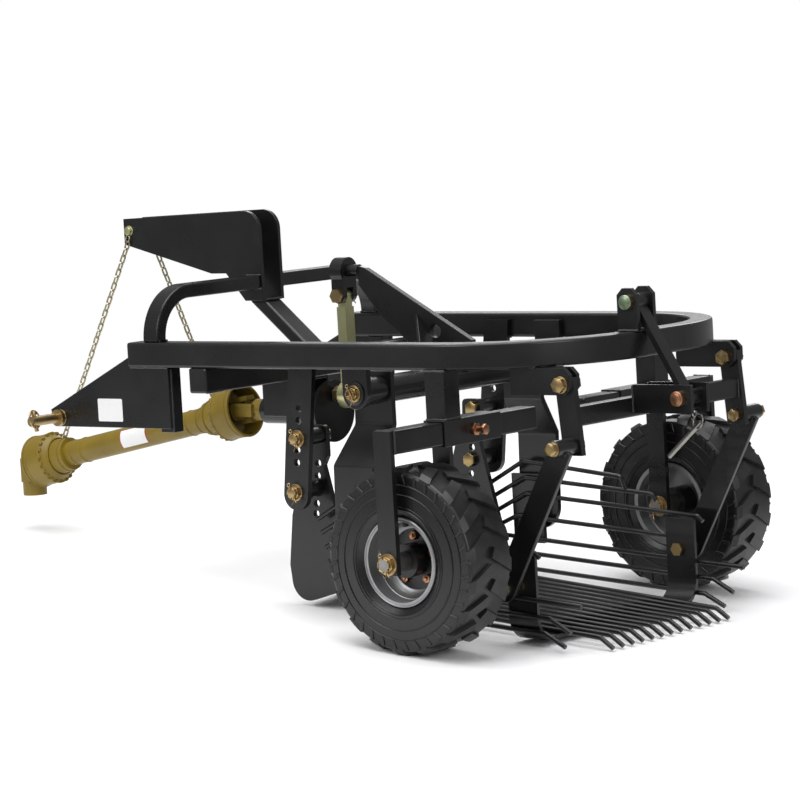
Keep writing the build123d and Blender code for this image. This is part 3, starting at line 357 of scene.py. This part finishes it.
def addBlock(bm, place, size, soft):  # a box with one cut along each edge
    made = bmesh.ops.create_cube(bm, size=1, matrix=place @ Matrix.Diagonal((*size, 1)))["verts"]
    soften(bm, edgesOf(made), soft, 1)


def addWire(bm, points, radius, sides):  # a round bar from point to point
    points = [Vector(p) for p in points]
    ways = [(b - a).normalized() for a, b in zip(points, points[1:])]
    heads = [ways[0]] + [(a + b).normalized() for a, b in zip(ways, ways[1:])] + [ways[-1]]
    ring = bmesh.ops.create_circle(bm, cap_ends=True, radius=radius, segments=sides,
                                   matrix=standing(points[0], heads[0]))["verts"]
    cap = ring[0].link_faces[0]
    cap.normal_update()
    if cap.normal.dot(heads[0]) > 0:
        cap.normal_flip()
    rim = edgesOf(ring)
    for i in range(1, len(points)):
        grown = bmesh.ops.extrude_edge_only(bm, edges=rim)["geom"]
        turn = heads[i - 1].rotation_difference(heads[i])
        for v in grown:
            if isinstance(v, bmesh.types.BMVert):
                v.co = points[i] + turn @ (v.co - points[i - 1])
        rim = [g for g in grown if isinstance(g, bmesh.types.BMEdge) and g.is_boundary]
    bmesh.ops.contextual_create(bm, geom=rim)


def addRing(bm, centre, direction, radius, wire, steps, sides):  # a ring of round wire
    place = standing(centre, direction)
    section = place @ Matrix.Translation((radius, 0, 0)) @ Matrix.Rotation(math.pi / 2, 4, "X")
    made = bmesh.ops.create_circle(bm, cap_ends=False, radius=wire, segments=sides, matrix=section)["verts"]
    bmesh.ops.spin(bm, geom=made + edgesOf(made), cent=place.translation, axis=place.to_3x3() @ axes["z"],
                   angle=2 * math.pi, steps=steps, use_merge=True, use_duplicate=False)


def addRings(bm, rows):  # centre, direction, radius, wire and steps of each ring
    for centre, direction, radius, wire, steps in rows:
        addRing(bm, centre, direction, radius, wire, steps, 8)


# Split pin: each of its two legs has a shift and a bend
cotter = {"wire": 1.3, "reach": 3, "eyeRadius": 3.6, "eyeShift": 3, "legs": ((-1.2, -5), (1.2, 9)), "tail": 8,
          "lift": 4, "twist": 0.45}


def addCotter(bm, centre, direction, across):
    way = Vector(direction).normalized()
    side = axes["z"] if abs(way.z) < 0.5 else axes["x"]
    side = (side + way.cross(side) * cotter["twist"]).normalized()
    other = way.cross(side).normalized()
    half = across / 2 + cotter["reach"]
    centre = Vector(centre)
    for shift, bend in cotter["legs"]:
        middle = centre + other * shift
        knee = centre - side * (half + cotter["tail"] / 2) + (other * bend + way * cotter["lift"]) / 2
        tip = centre - side * (half + cotter["tail"]) + other * bend + way * cotter["lift"]
        addWire(bm, [middle + side * half, middle - side * half, knee, tip], cotter["wire"], 6)
    addRing(bm, centre + side * (half + cotter["eyeShift"]), way, cotter["eyeRadius"], cotter["wire"], 14, 6)


# Castle nut: hexShare is of the height and pinHeight of the crown, the other shares and the tooth's middle,
# depth and width are of the width across flats, and washer, toothSink and toothEdge are in millimetres
castleNut = {"washer": 2.4, "washerShare": 0.66, "hexShare": 0.62, "hexTurn": 12, "teeth": 6, "toothSink": 1,
             "toothMiddle": 0.42, "toothDepth": 0.44, "toothWidth": 0.3, "toothEdge": 0.6, "pinHeight": 0.45,
             "pinShare": 0.9}


def addCastleNut(bm, face, direction, across, height, rod):
    way = Vector(direction).normalized()
    face = Vector(face)
    washer = castleNut["washer"]
    addRound(bm, face + way * washer / 2, way, across * castleNut["washerShare"], washer, 28, soft=0.5)
    body = height * castleNut["hexShare"]
    addHex(bm, face + way * (washer + body / 2), way, across, body, castleNut["hexTurn"])
    crown = height - body
    base = face + way * (washer + body)
    place = standing(base, way)
    sink = castleNut["toothSink"]
    size = (across * castleNut["toothDepth"] - rod, across * castleNut["toothWidth"], crown + sink)
    middle = Matrix.Translation(((across * castleNut["toothMiddle"] + rod) / 2, 0, (crown - sink) / 2))
    for i in range(castleNut["teeth"]):
        turn = Matrix.Rotation(math.tau * i / castleNut["teeth"], 4, "Z")
        addBlock(bm, place @ turn @ middle, size, castleNut["toothEdge"])
    addCotter(bm, base + way * crown * castleNut["pinHeight"], way, across * castleNut["pinShare"])


plainNut = {"washerShare": 0.62, "washerEdge": 0.4, "turn": 20}


def addNut(bm, face, direction, across, height, washer=2):
    way = Vector(direction).normalized()
    face = Vector(face)
    if washer:
        addRound(bm, face + way * washer / 2, way, across * plainNut["washerShare"], washer, 26,
                 soft=plainNut["washerEdge"])
    addHex(bm, face + way * (washer + height / 2), way, across, height, plainNut["turn"])


def mirrored(bm):  # the same on the machine's other side
    geom = bm.verts[:] + bm.edges[:] + bm.faces[:]
    copied = bmesh.ops.duplicate(bm, geom=geom)["geom"]
    for v in copied:
        if isinstance(v, bmesh.types.BMVert):
            v.co.y = -v.co.y
    bmesh.ops.reverse_faces(bm, faces=[g for g in copied if isinstance(g, bmesh.types.BMFace)])


pieceFinish = {"joinWithin": 0.0005, "smoothAngle": 32}  # faces that meet at less than this angle look round


def finishPiece(bm, name, body, finish):
    bmesh.ops.remove_doubles(bm, verts=bm.verts, dist=pieceFinish["joinWithin"])
    bmesh.ops.transform(bm, matrix=parkedMatrix, verts=bm.verts)
    bmesh.ops.recalc_face_normals(bm, faces=bm.faces)
    mesh = bpy.data.meshes.new(name)
    bm.to_mesh(mesh)
    bm.free()
    mesh.shade_smooth()
    mesh.set_sharp_from_angle(angle=math.radians(pieceFinish["smoothAngle"]))
    mesh.materials.append(finishes[finish])
    piece = bpy.data.objects.new(name, mesh)
    bpy.context.scene.collection.objects.link(piece)
    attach(piece, body)


def finishBothSides(bm, name, body, finish):
    mirrored(bm)
    finishPiece(bm, name, body, finish)


# Nuts and bolt heads on the frame's left side, which the right side repeats
frameNuts = {
    "castle": [  # centre, y of the face, way out, across flats, height, shaft radius
        ("rockerPin", 343, 1, 27, 14, 9),
        ("shareUpper", 340, 1, 28, 14, 9),
        ("shareLower", 340, 1, 28, 14, 9),
        ("axle", 565, 1, 34, 15, 12.5),
        ("axle", 367, -1, 34, 14, 12.5),
    ],
    "plain": [  # centre, y of the face, across flats, height
        ("linkTop", 307, 28, 11),
        ("linkFoot", 361, 24, 11),
    ],
    "heads": [  # centre, y of the middle, across flats, height, turn
        ("linkTop", 265.2, 28, 15.6, 5),
        ("linkFoot", 276.2, 24, 13.6, 5),
        ("shareUpper", 253.3, 28.6, 11.4, 0),
        ("shareLower", 253.3, 28.6, 11.4, 0),
    ],
    "shareEnds": {"y": 353.5, "radius": 9.3, "length": 7},
}
pieces = bmesh.new()
for centre, y, way, across, height, rod in frameNuts["castle"]:
    addCastleNut(pieces, spot(centre, y), axes["y"] * way, across, height, rod)
for centre, y, across, height in frameNuts["plain"]:
    addNut(pieces, spot(centre, y), axes["y"], across, height)
for centre, y, across, height, turn in frameNuts["heads"]:
    addHex(pieces, spot(centre, y), axes["y"], across, height, turn)
end = frameNuts["shareEnds"]
for centre in ("shareUpper", "shareLower"):
    addRound(pieces, spot(centre, end["y"]), axes["y"], end["radius"], end["length"], soft=1)
finishBothSides(pieces, "frameNuts", "frame", "yellow_zinc")

# Wide washers behind the rocker pins' nuts
rockerWasher = {"round": (341.7, 25, 3, 36, 0.6)}
pieces = bmesh.new()
addRounds(pieces, "rockerPin", rockerWasher.values())
finishBothSides(pieces, "rockerWashers", "frame", "black_paint")

# Bolt through the mast's nose that the chains hang from
mastBolt = {
    "shank": (0, 8.6, 86, 28, 0), "cap": (41.5, 9.4, 6.5, 32, 1.4),
    "leftWasher": (37.2, 12, 2, 32, 0.5), "rightWasher": (-37.2, 12, 2, 32, 0.5),
    "nut": (-42.5, 22, 8.6),  # y, width across flats and height
}
pieces = bmesh.new()
addRounds(pieces, "mastBolt", [mastBolt[key] for key in ("shank", "leftWasher", "rightWasher", "cap")])
y, across, height = mastBolt["nut"]
addHex(pieces, spot("mastBolt", y), axes["y"], across, height)
finishPiece(pieces, "mastBolt", "frame", "rodZinc")

# Copper-coloured hex bolts that lock the wheel beams in their sleeves: x, width or radius, length, turn
lockBolt = {"y": 300, "z": 433, "nut": (-31, 24, 7, 8), "head": (-54, 20, 9, 25), "shaft": (-41, 6, 18)}
pieces = bmesh.new()
for x, across, length, turn in (lockBolt["nut"], lockBolt["head"]):
    addHex(pieces, (x, lockBolt["y"], lockBolt["z"]), axes["x"], across, length, turn)
x, radius, length = lockBolt["shaft"]
addRound(pieces, (x, lockBolt["y"], lockBolt["z"]), axes["x"], radius, length, 18)
finishBothSides(pieces, "beamLockBolts", "frame", "copper")

# What a wheel carries: hub nuts, the valve, raised lines and ribs on the tyre's walls, and the rim's pressing
hubNuts = {"count": 5, "circle": 48, "y": 480.5, "firstTurn": 0.3, "across": 17, "height": 8, "twist": 17,
           "tipShift": 5, "tipRadius": 4.5, "tipLength": 6, "tipEdge": 0.8}
valve = {  # each part's y, height over the axle, radius, length and edge
    "lean": (0, 1, -0.15), "parts": ((488, 76, 4.2, 26, 0.8), (503, 73.6, 5.4, 11, 1)),
}
tyreWall = {
    "halfWidth": 71.2,
    "lines": ((108, 0.4, 1.8), (114, 0.6, 1.2), (139, 2.1, 1.6), (158, 3.4, 1.3)),  # radius, drop, wire
    "ribs": 36, "ribFace": 66.8, "ribRadius": 169, "ribLean": 24, "ribShift": 0.04, "ribSize": (6.5, 4.6, 21),
    "ribEdge": 1.1,
}
rimBeads = {  # radius, distance from the tyre's middle, wire
    "lip": (89.5, 62.4, 2.4), "outerSeat": (80, 30, 3), "innerSeat": (80, -30, 3),
}
rimDish = {  # radius and y, in along the pressing's face and out along its hidden back
    "face": [(84.5, 526), (81.5, 505), (76, 488), (66, 478.4), (62.4, 477.6)],
    "back": [(62.4, 476), (67, 476.4), (78, 486.4), (83.5, 504), (86, 526)],
    "steps": 72,
}
axleHeight = centres["axle"][1]


def makeHubNuts(sign):
    studs = bmesh.new()
    for i in range(hubNuts["count"]):
        turn = math.tau * i / hubNuts["count"] + hubNuts["firstTurn"]
        x, z = hubNuts["circle"] * math.cos(turn), hubNuts["circle"] * math.sin(turn)
        middle = Vector((x, hubNuts["y"], axleHeight + z))
        addHex(studs, middle, axes["y"], hubNuts["across"], hubNuts["height"], hubNuts["twist"] * i)
        tip = middle + axes["y"] * hubNuts["tipShift"]
        addRound(studs, tip, axes["y"], hubNuts["tipRadius"], hubNuts["tipLength"], 14, hubNuts["tipEdge"])
    if sign < 0:
        for v in studs.verts:
            v.co.y = -v.co.y
        bmesh.ops.reverse_faces(studs, faces=studs.faces)
    return studs


def makeValve(sign):
    stem = bmesh.new()
    for y, z, radius, length, soft in valve["parts"]:
        addRound(stem, (0, sign * y, axleHeight + z), valve["lean"], radius, length, 16, soft=soft)
    return stem


def makeTyreWalls(sign):
    walls = bmesh.new()
    for radius, drop, wire in tyreWall["lines"]:
        for face in (1, -1):
            y = sign * tyreMiddle + face * (tyreWall["halfWidth"] - drop)
            addRing(walls, spot("axle", y), axes["y"], radius, wire, 72, 6)
    for i in range(tyreWall["ribs"]):  # short ribs that run from the wall up to the shoulder
        turn = math.tau * i / tyreWall["ribs"]
        for face in (1, -1):
            place = (Matrix.Translation(spot("axle", sign * tyreMiddle + face * tyreWall["ribFace"]))
                     @ Matrix.Rotation(turn + face * tyreWall["ribShift"], 4, "Y")
                     @ Matrix.Translation((0, 0, tyreWall["ribRadius"]))
                     @ Matrix.Rotation(math.radians(tyreWall["ribLean"] * face), 4, "Y"))
            addBlock(walls, place, tyreWall["ribSize"], tyreWall["ribEdge"])
    return walls


def makeRimBeads(sign):
    beads = bmesh.new()
    for radius, shift, wire in rimBeads.values():
        addRing(beads, spot("axle", sign * (tyreMiddle + shift)), axes["y"], radius, wire, 64, 8)
    return beads


def makeRimDish(sign):
    dish = bmesh.new()
    ring = [dish.verts.new((radius, sign * y, axleHeight)) for radius, y in rimDish["face"] + rimDish["back"]]
    loop = [dish.edges.new(pair) for pair in zip(ring, ring[1:] + ring[:1])]
    bmesh.ops.spin(dish, geom=ring + loop, cent=spot("axle", 0), axis=axes["y"], angle=2 * math.pi,
                   steps=rimDish["steps"], use_merge=True, use_duplicate=False)
    return dish


for side, sign in (("left", 1), ("right", -1)):
    body = "wheel_" + side
    finishPiece(makeHubNuts(sign), "hubNuts." + side, body, "copper")
    finishPiece(makeValve(sign), "valve." + side, body, "darkBore")
    finishPiece(makeTyreWalls(sign), "tyreWallRibs." + side, body, "tyre_rubber")
    finishPiece(makeRimBeads(sign), "rimBeads." + side, body, "wheel_silver")
    finishPiece(makeRimDish(sign), "rimDish." + side, body, "wheel_silver")
print("wheels dressed")

# Nuts and heads of the sieve's four bolts: y of the face or middle, across flats, height
sieveNuts = {"front": (324, 26, 13), "frontRod": 8, "rear": (336, 24, 10), "head": (283.6, 22, 6)}
pieces = bmesh.new()
y, across, height = sieveNuts["front"]
addCastleNut(pieces, spot("sieveFront", y), axes["y"], across, height, sieveNuts["frontRod"])
finishBothSides(pieces, "sieveFrontNuts", "rocker", "yellow_zinc")
pieces = bmesh.new()
y, across, height = sieveNuts["rear"]
addNut(pieces, spot("sieveRear", y), axes["y"], across, height)
finishBothSides(pieces, "sieveRearNuts", "sieve", "green")
pieces = bmesh.new()
y, across, height = sieveNuts["head"]
addHex(pieces, spot("sieveFront", y), axes["y"], across, height, 10)
finishBothSides(pieces, "sieveFrontHeads", "rocker", "copper")

# Nut on the rocker lever's stub, and the washer and cotter on the knuckle's fork bolt
stubNut = {"z": 737, "washer": (566.6, 21, 2.4), "nut": (569.5, 30, 5)}  # x, radius or width, length
pieces = bmesh.new()
x, radius, length = stubNut["washer"]
addRound(pieces, (x, 0, stubNut["z"]), axes["x"], radius, length, 28, soft=0.5)
x, across, length = stubNut["nut"]
addHex(pieces, (x, 0, stubNut["z"]), axes["x"], across, length, 10)
finishPiece(pieces, "stubNut", "rocker", "black_paint")

forkWasher = {"washer": (-23.6, 14, 2.2, 24, 0.4), "cotterY": -32, "across": 16}
pieces = bmesh.new()
addRounds(pieces, "fork", [forkWasher["washer"]])
addCotter(pieces, spot("fork", forkWasher["cotterY"]), -axes["y"], forkWasher["across"])
finishPiece(pieces, "forkWasher", "rod_knuckle", "yellow_zinc")

# Pins of the tie: a copper head at the clevis, a greenish one at the top bracket, cotters at the far ends
tieHeads = {"clevis": "copper", "topBracket": "green"}
tiePin = {"head": (107.5, 15.4, 4, 32, 1.2), "boss": (110.2, 11, 1.6, 32, 0.6),
          "washer": (30.4, 17, 2.6, 28, 0.5), "cotterY": 23, "across": 22}
for name, finish in tieHeads.items():
    pieces = bmesh.new()
    addRounds(pieces, name, [tiePin["head"], tiePin["boss"]])
    finishPiece(pieces, "tieHead." + name, "frame", finish)
    pieces = bmesh.new()
    addCotter(pieces, spot(name, tiePin["cotterY"]), axes["y"], tiePin["across"])
    addRounds(pieces, name, [tiePin["washer"]])
    finishPiece(pieces, "tieCotter." + name, "frame", "yellow_zinc")

# Linch pins through the lower hitch pins: a short pin with a head and its sprung ring
linchPin = {
    "y": 462, "lean": (0.2, 0, 1),  # then each part's shift along x and z, radius, length, sides and edge
    "pin": (0, 0, 4.6, 46, 16, 1), "head": (3.5, 17.5, 7.6, 9, 18, 1.6),
    "ringLift": 4, "ringLean": (1, 0.22, -0.2), "ringRadius": 19.5, "ringWire": 1.9,
}
pieces = bmesh.new()
middle = spot("hitchPin", linchPin["y"])
for x, z, radius, length, sides, soft in (linchPin["pin"], linchPin["head"]):
    addRound(pieces, middle + Vector((x, 0, z)), linchPin["lean"], radius, length, sides, soft=soft)
addRing(pieces, middle + axes["z"] * linchPin["ringLift"], linchPin["ringLean"], linchPin["ringRadius"],
        linchPin["ringWire"], 36, 8)
finishBothSides(pieces, "linchPins", "frame", "yellow_zinc")

# Nut behind each lower hitch pin's plate, and the collar in front of it
hitchNut = {"y": 372, "across": 33, "height": 16, "collarY": 383.4, "collarRadius": 17, "collarWire": 1.6}
pieces = bmesh.new()
addNut(pieces, spot("hitchPin", hitchNut["y"]), -axes["y"], hitchNut["across"], hitchNut["height"], 0)
collar = spot("hitchPin", hitchNut["collarY"])
addRing(pieces, collar, axes["y"], hitchNut["collarRadius"], hitchNut["collarWire"], 40, 8)
finishBothSides(pieces, "hitchNuts", "frame", "yellow_zinc")

# Grey pin that hangs from the clevis by its two rings
hangingPin = {
    "radius": 5, "points": [(-409.5, 45, 425.8), (-366.5, 45, 388.2), (-327, 45, 353.6)],
    "rings": [  # centre, direction, radius, wire, steps
        ((-402, 45, 428), (0.3, 1, 0.2), 15, 1.8, 28),
        ((-396, 47, 446), (1, 0.2, 0.1), 9, 1.6, 24),
    ],
}
pieces = bmesh.new()
addWire(pieces, hangingPin["points"], hangingPin["radius"], 12)
addRings(pieces, hangingPin["rings"])
finishPiece(pieces, "hangingPin", "frame", "bare_steel")

# Wire hooks where the chains meet the guard's collars and the mast's bolt
chainHooks = {  # centre, direction, radius, wire, steps
    "frontCollar": ((1425, 0, 353), (1, 0, -0.2), 6, 1.6, 22),
    "rearCollar": ((950, 0, 451), (1, 0, -0.2), 6, 1.6, 22),
    "mastLeft": ((1147, 40.5, 817), (0.3, 1, 0.2), 8, 1.5, 24),
    "mastRight": ((1149, -40.5, 817), (0.3, 1, 0.2), 8, 1.5, 24),
}
pieces = bmesh.new()
addRings(pieces, chainHooks.values())
finishPiece(pieces, "chainHooks", "frame", "zinc")
print("fasteners made")

# Guard of the drive shaft: rings and a toothed collar on each drum, and bands on the tube
guard = {
    "start": (850, 0, 428), "slope": 11.4, "length": 695, "rearRim": 7, "frontRim": 21, "drum": 55,
    "rimRings": ((2, 59.4, 2.1, 64, 8), (12, 59, 1.2, 64, 6)),  # distance, radius, wire, steps, sides
    "shoulderRings": ((0, 58.6, 2.0, 64, 8), (16.5, 43.6, 2.0, 56, 8), (42, 39.6, 1.5, 56, 6)),
    "teeth": {"count": 22, "shift": 3, "radius": 57.6, "size": (6, 8.5, 7.5), "edge": 1.0},
    "bands": {"places": (137, 170, 512, 545), "radius": 28.7, "wire": 1.3},
}
slope = math.radians(guard["slope"])
shaftWay = Vector((math.cos(slope), 0, -math.sin(slope)))


def alongGuard(distance):
    return Vector(guard["start"]) + shaftWay * distance


def guardTrim(name, rim, fromFront):
    def at(distance):
        return alongGuard(guard["length"] - distance if fromFront else distance)
    trim = bmesh.new()
    shoulder = rim + guard["drum"]
    for base, rings in ((rim, guard["rimRings"]), (shoulder, guard["shoulderRings"])):
        for distance, radius, wire, steps, sides in rings:
            addRing(trim, at(base + distance), shaftWay, radius, wire, steps, sides)
    teeth = guard["teeth"]
    place = standing(at(shoulder + teeth["shift"]), shaftWay)
    out = Matrix.Translation((teeth["radius"], 0, 0))
    for i in range(teeth["count"]):
        turn = Matrix.Rotation(math.tau * i / teeth["count"], 4, "Z")
        addBlock(trim, place @ turn @ out, teeth["size"], teeth["edge"])
    finishPiece(trim, name, "frame", "guard_yellow")


guardTrim("guardRearTrim", guard["rearRim"], False)
guardTrim("guardFrontTrim", guard["frontRim"], True)
bands = guard["bands"]
pieces = bmesh.new()
for distance in bands["places"]:
    addRing(pieces, alongGuard(distance), shaftWay, bands["radius"], bands["wire"], 48, 6)
finishPiece(pieces, "guardTubeBands", "frame", "guard_yellow")

# Blank sticker on the lower-link plate
plateLabel = {"x": (872, 944), "z": (441.5, 491), "y": 382.35, "thickness": 0.5, "corner": 3}
(x0, x1), (z0, z1) = plateLabel["x"], plateLabel["z"]
pieces = bmesh.new()
middle = Matrix.Translation(((x0 + x1) / 2, plateLabel["y"], (z0 + z1) / 2))
size = Matrix.Diagonal((x1 - x0, plateLabel["thickness"], z1 - z0, 1))
bmesh.ops.create_cube(pieces, size=1, matrix=middle @ size)
corners = [e for e in pieces.edges if abs((e.verts[0].co - e.verts[1].co).y) > plateLabel["thickness"] / 2]
soften(pieces, corners, plateLabel["corner"], 3)
finishPiece(pieces, "plateLabel", "frame", "label")

# Blank sticker with a red edge on the guard tube's left side: each sheet's first and last angle, and radius
tubeLabel = {"x": (1139, 1222), "edge": 3, "red": (50, 140, 28.8), "white": (50, 135, 29.2), "steps": 12,
             "thickness": 0.3}


def wrapLabel(name, finish, first, last, start, end, radius):
    wrap = bmesh.new()
    place = standing(alongGuard(first), shaftWay).to_3x3()
    side, up = place @ axes["y"], place @ axes["x"]
    ring = []
    for i in range(tubeLabel["steps"] + 1):
        turn = math.radians(start + (end - start) * i / tubeLabel["steps"])
        out = side * math.sin(turn) + up * math.cos(turn)
        ring.append(wrap.verts.new(alongGuard(first) + radius * out))
    lines = [wrap.edges.new(pair) for pair in zip(ring, ring[1:])]
    swept = bmesh.ops.extrude_edge_only(wrap, edges=lines)["geom"]
    bmesh.ops.translate(wrap, verts=[g for g in swept if isinstance(g, bmesh.types.BMVert)],
                        vec=shaftWay * (last - first))
    bmesh.ops.recalc_face_normals(wrap, faces=wrap.faces)
    bmesh.ops.solidify(wrap, geom=wrap.faces[:], thickness=tubeLabel["thickness"])
    finishPiece(wrap, name, "frame", finish)


first, last = [(x - guard["start"][0]) / math.cos(slope) for x in tubeLabel["x"]]
wrapLabel("tubeLabelEdge", "redEdge", first, last, *tubeLabel["red"])
wrapLabel("tubeLabel", "label", first + tubeLabel["edge"], last - tubeLabel["edge"], *tubeLabel["white"])
print("guards and labels made")

# Weld beads, as wobbling lines from point to point
welds = {
    "radius": 2.6, "step": 5, "wobble": 0.4,
    "bothSides": [
        ((-28, 340, 560), (24, 340, 560)), ((-28, 390, 560), (24, 390, 560)),
        ((-26, 340, 462), (-26, 390, 462)), ((-28, 390.5, 461), (24, 390.5, 461)),
        ((733, 382, 560), (840, 382, 560)), ((771, 372, 560), (771, 342, 560)),
        ((733, 372.5, 420), (733, 372.5, 556)), ((757, 375, 616), (800, 375, 616)),
        ((757, 352, 616), (800, 352, 616)), ((755, 36, 702), (799, 36, 702)),
        ((755, 36, 731), (799, 36, 731)), ((617, 340, 560), (667, 340, 560)),
        ((617, 340, 508), (617, 390, 508)), ((-196, 307, 560), (-135, 307, 560)),
        ((-281, 283, 441), (-281, 283, 479)), ((216, 340.5, 562), (284, 340.5, 562)),
        ((358, 339, 561), (424, 339, 561)), ((-21, 553, 456), (21, 553, 456)),
        ((-21, 365, 408), (-21, 381, 408)), ((754, 27, 676), (754, -27, 676)),
        ((-23, 552.5, 410), (-23, 552.5, 455)), ((628, 27, 561), (628, -27, 561)),
    ],
    "leftSide": [
        ((-281, 42, 450), (-281, 42, 504)), ((-281, 98, 450), (-281, 98, 504)),
        ((-303, 98, 616), (-255, 98, 616)), ((-303, 42, 616), (-255, 42, 616)),
    ],
}


def addWeld(bm, start, end):
    a, b = Vector(start), Vector(end)
    count = max(3, int((b - a).length / welds["step"]))
    points = []
    for i in range(count + 1):
        wobble = Vector([random.uniform(-welds["wobble"], welds["wobble"]) for _ in range(3)])
        points.append(a.lerp(b, i / count) + wobble)
    addWire(bm, points, welds["radius"], 6)


beads = bmesh.new()
for start, end in welds["bothSides"]:
    addWeld(beads, start, end)
mirrored(beads)
for start, end in welds["leftSide"]:
    addWeld(beads, start, end)
finishPiece(beads, "frameWelds", "frame", "weld")
print("welds made")

# Plain pale floor under the tyres and the share, which fades out before it ends
studioFloor = {"radius": 7.0, "colour": (0.92, 0.92, 0.925), "shade": (0.90, 0.90, 0.905), "fadeFrom": 1.2,
               "fadeTo": 2.4}
floorFinish = Finish("studioFloor", roughness=0.7)
grain = floorFinish.noise(3, 2)
floorFinish.feed("Base Color", floorFinish.mix(grain * 0.2, studioFloor["colour"], studioFloor["shade"]))
x, y, z = floorFinish.axis()
away = floorFinish.step(x * x + y * y, studioFloor["fadeFrom"] ** 2, studioFloor["fadeTo"] ** 2)
clear = floorFinish.add("ShaderNodeBsdfTransparent", {}, {})
fade = floorFinish.add("ShaderNodeMixShader", {}, {0: away})
floorLinks = floorFinish.tree.links
floorLinks.new(floorFinish.shader.outputs[0], fade.inputs[1])
floorLinks.new(clear.outputs[0], fade.inputs[2])
floorLinks.new(fade.outputs[0], floorFinish.tree.nodes["Material Output"].inputs["Surface"])
disc = bmesh.new()
bmesh.ops.create_circle(disc, cap_ends=True, radius=studioFloor["radius"], segments=96)
mesh = bpy.data.meshes.new("studioFloor")
disc.to_mesh(mesh)
disc.free()
mesh.materials.append(floorFinish.material)
floor = bpy.data.objects.new("studioFloor", mesh)
bpy.context.scene.collection.objects.link(floor)

# The camera sees a white background, and the pieces a dimmer room
studio = {"seen": (1, 1, 1), "seenStrength": 1.0, "room": (0.97, 0.98, 1.0), "roomStrength": 0.34}
scene = bpy.context.scene
world = bpy.data.worlds.new("studio")
scene.world = world
world.use_nodes = True
links = world.node_tree.links
seen = world.node_tree.nodes["Background"]
seen.inputs["Color"].default_value = (*studio["seen"], 1)
seen.inputs["Strength"].default_value = studio["seenStrength"]
room = world.node_tree.nodes.new("ShaderNodeBackground")
room.inputs["Color"].default_value = (*studio["room"], 1)
room.inputs["Strength"].default_value = studio["roomStrength"]
path = world.node_tree.nodes.new("ShaderNodeLightPath")
choice = world.node_tree.nodes.new("ShaderNodeMixShader")
links.new(path.outputs["Is Camera Ray"], choice.inputs[0])
links.new(room.outputs[0], choice.inputs[1])
links.new(seen.outputs[0], choice.inputs[2])
links.new(choice.outputs[0], world.node_tree.nodes["World Output"].inputs["Surface"])

# Soft boxes: where each stands, what it looks at, its size and its power
lamps = {
    "overhead": ((0.1, 0.5, 4.2), (0, 0, 0), (4.5, 4.5), 245),
    "leftBox": ((1.5, 5.0, 3.2), (0.2, 0, 0.4), (2.6, 2.6), 105),
    "rightBox": ((-5.2, 2.6, 2.8), (-0.2, 0, 0.4), (2.6, 2.6), 95),
    "backBox": ((2.5, -4.5, 2.6), (0, 0, 0.5), (3.0, 2.0), 60),
}
for name, (place, target, size, power) in lamps.items():
    light = bpy.data.lights.new(name, "AREA")
    light.shape = "RECTANGLE"
    light.size, light.size_y = size
    light.energy = power
    lamp = bpy.data.objects.new(name, light)
    lamp.location = place
    lamp.rotation_euler = (Vector(target) - Vector(place)).to_track_quat("-Z", "Y").to_euler()
    scene.collection.objects.link(lamp)

photoCamera = {"place": (-5.3672, 6.4741, 1.6402), "right": (-0.77721, -0.62909, 0.01358),
               "up": (0.10199, -0.10465, 0.98927), "ahead": (0.62092, -0.77025, -0.14550), "lens": 174.92,
               "sensor": 36, "reach": 60}
data = bpy.data.cameras.new("photoCamera")
data.lens = photoCamera["lens"]
data.sensor_width = photoCamera["sensor"]
data.clip_end = photoCamera["reach"]
camera = bpy.data.objects.new("photoCamera", data)
turn = Matrix([photoCamera["right"], photoCamera["up"], [-c for c in photoCamera["ahead"]]]).transposed()
camera.matrix_world = Matrix.Translation(photoCamera["place"]) @ turn.to_4x4()
scene.collection.objects.link(camera)
scene.camera = camera
scene.view_settings.view_transform = "Standard"
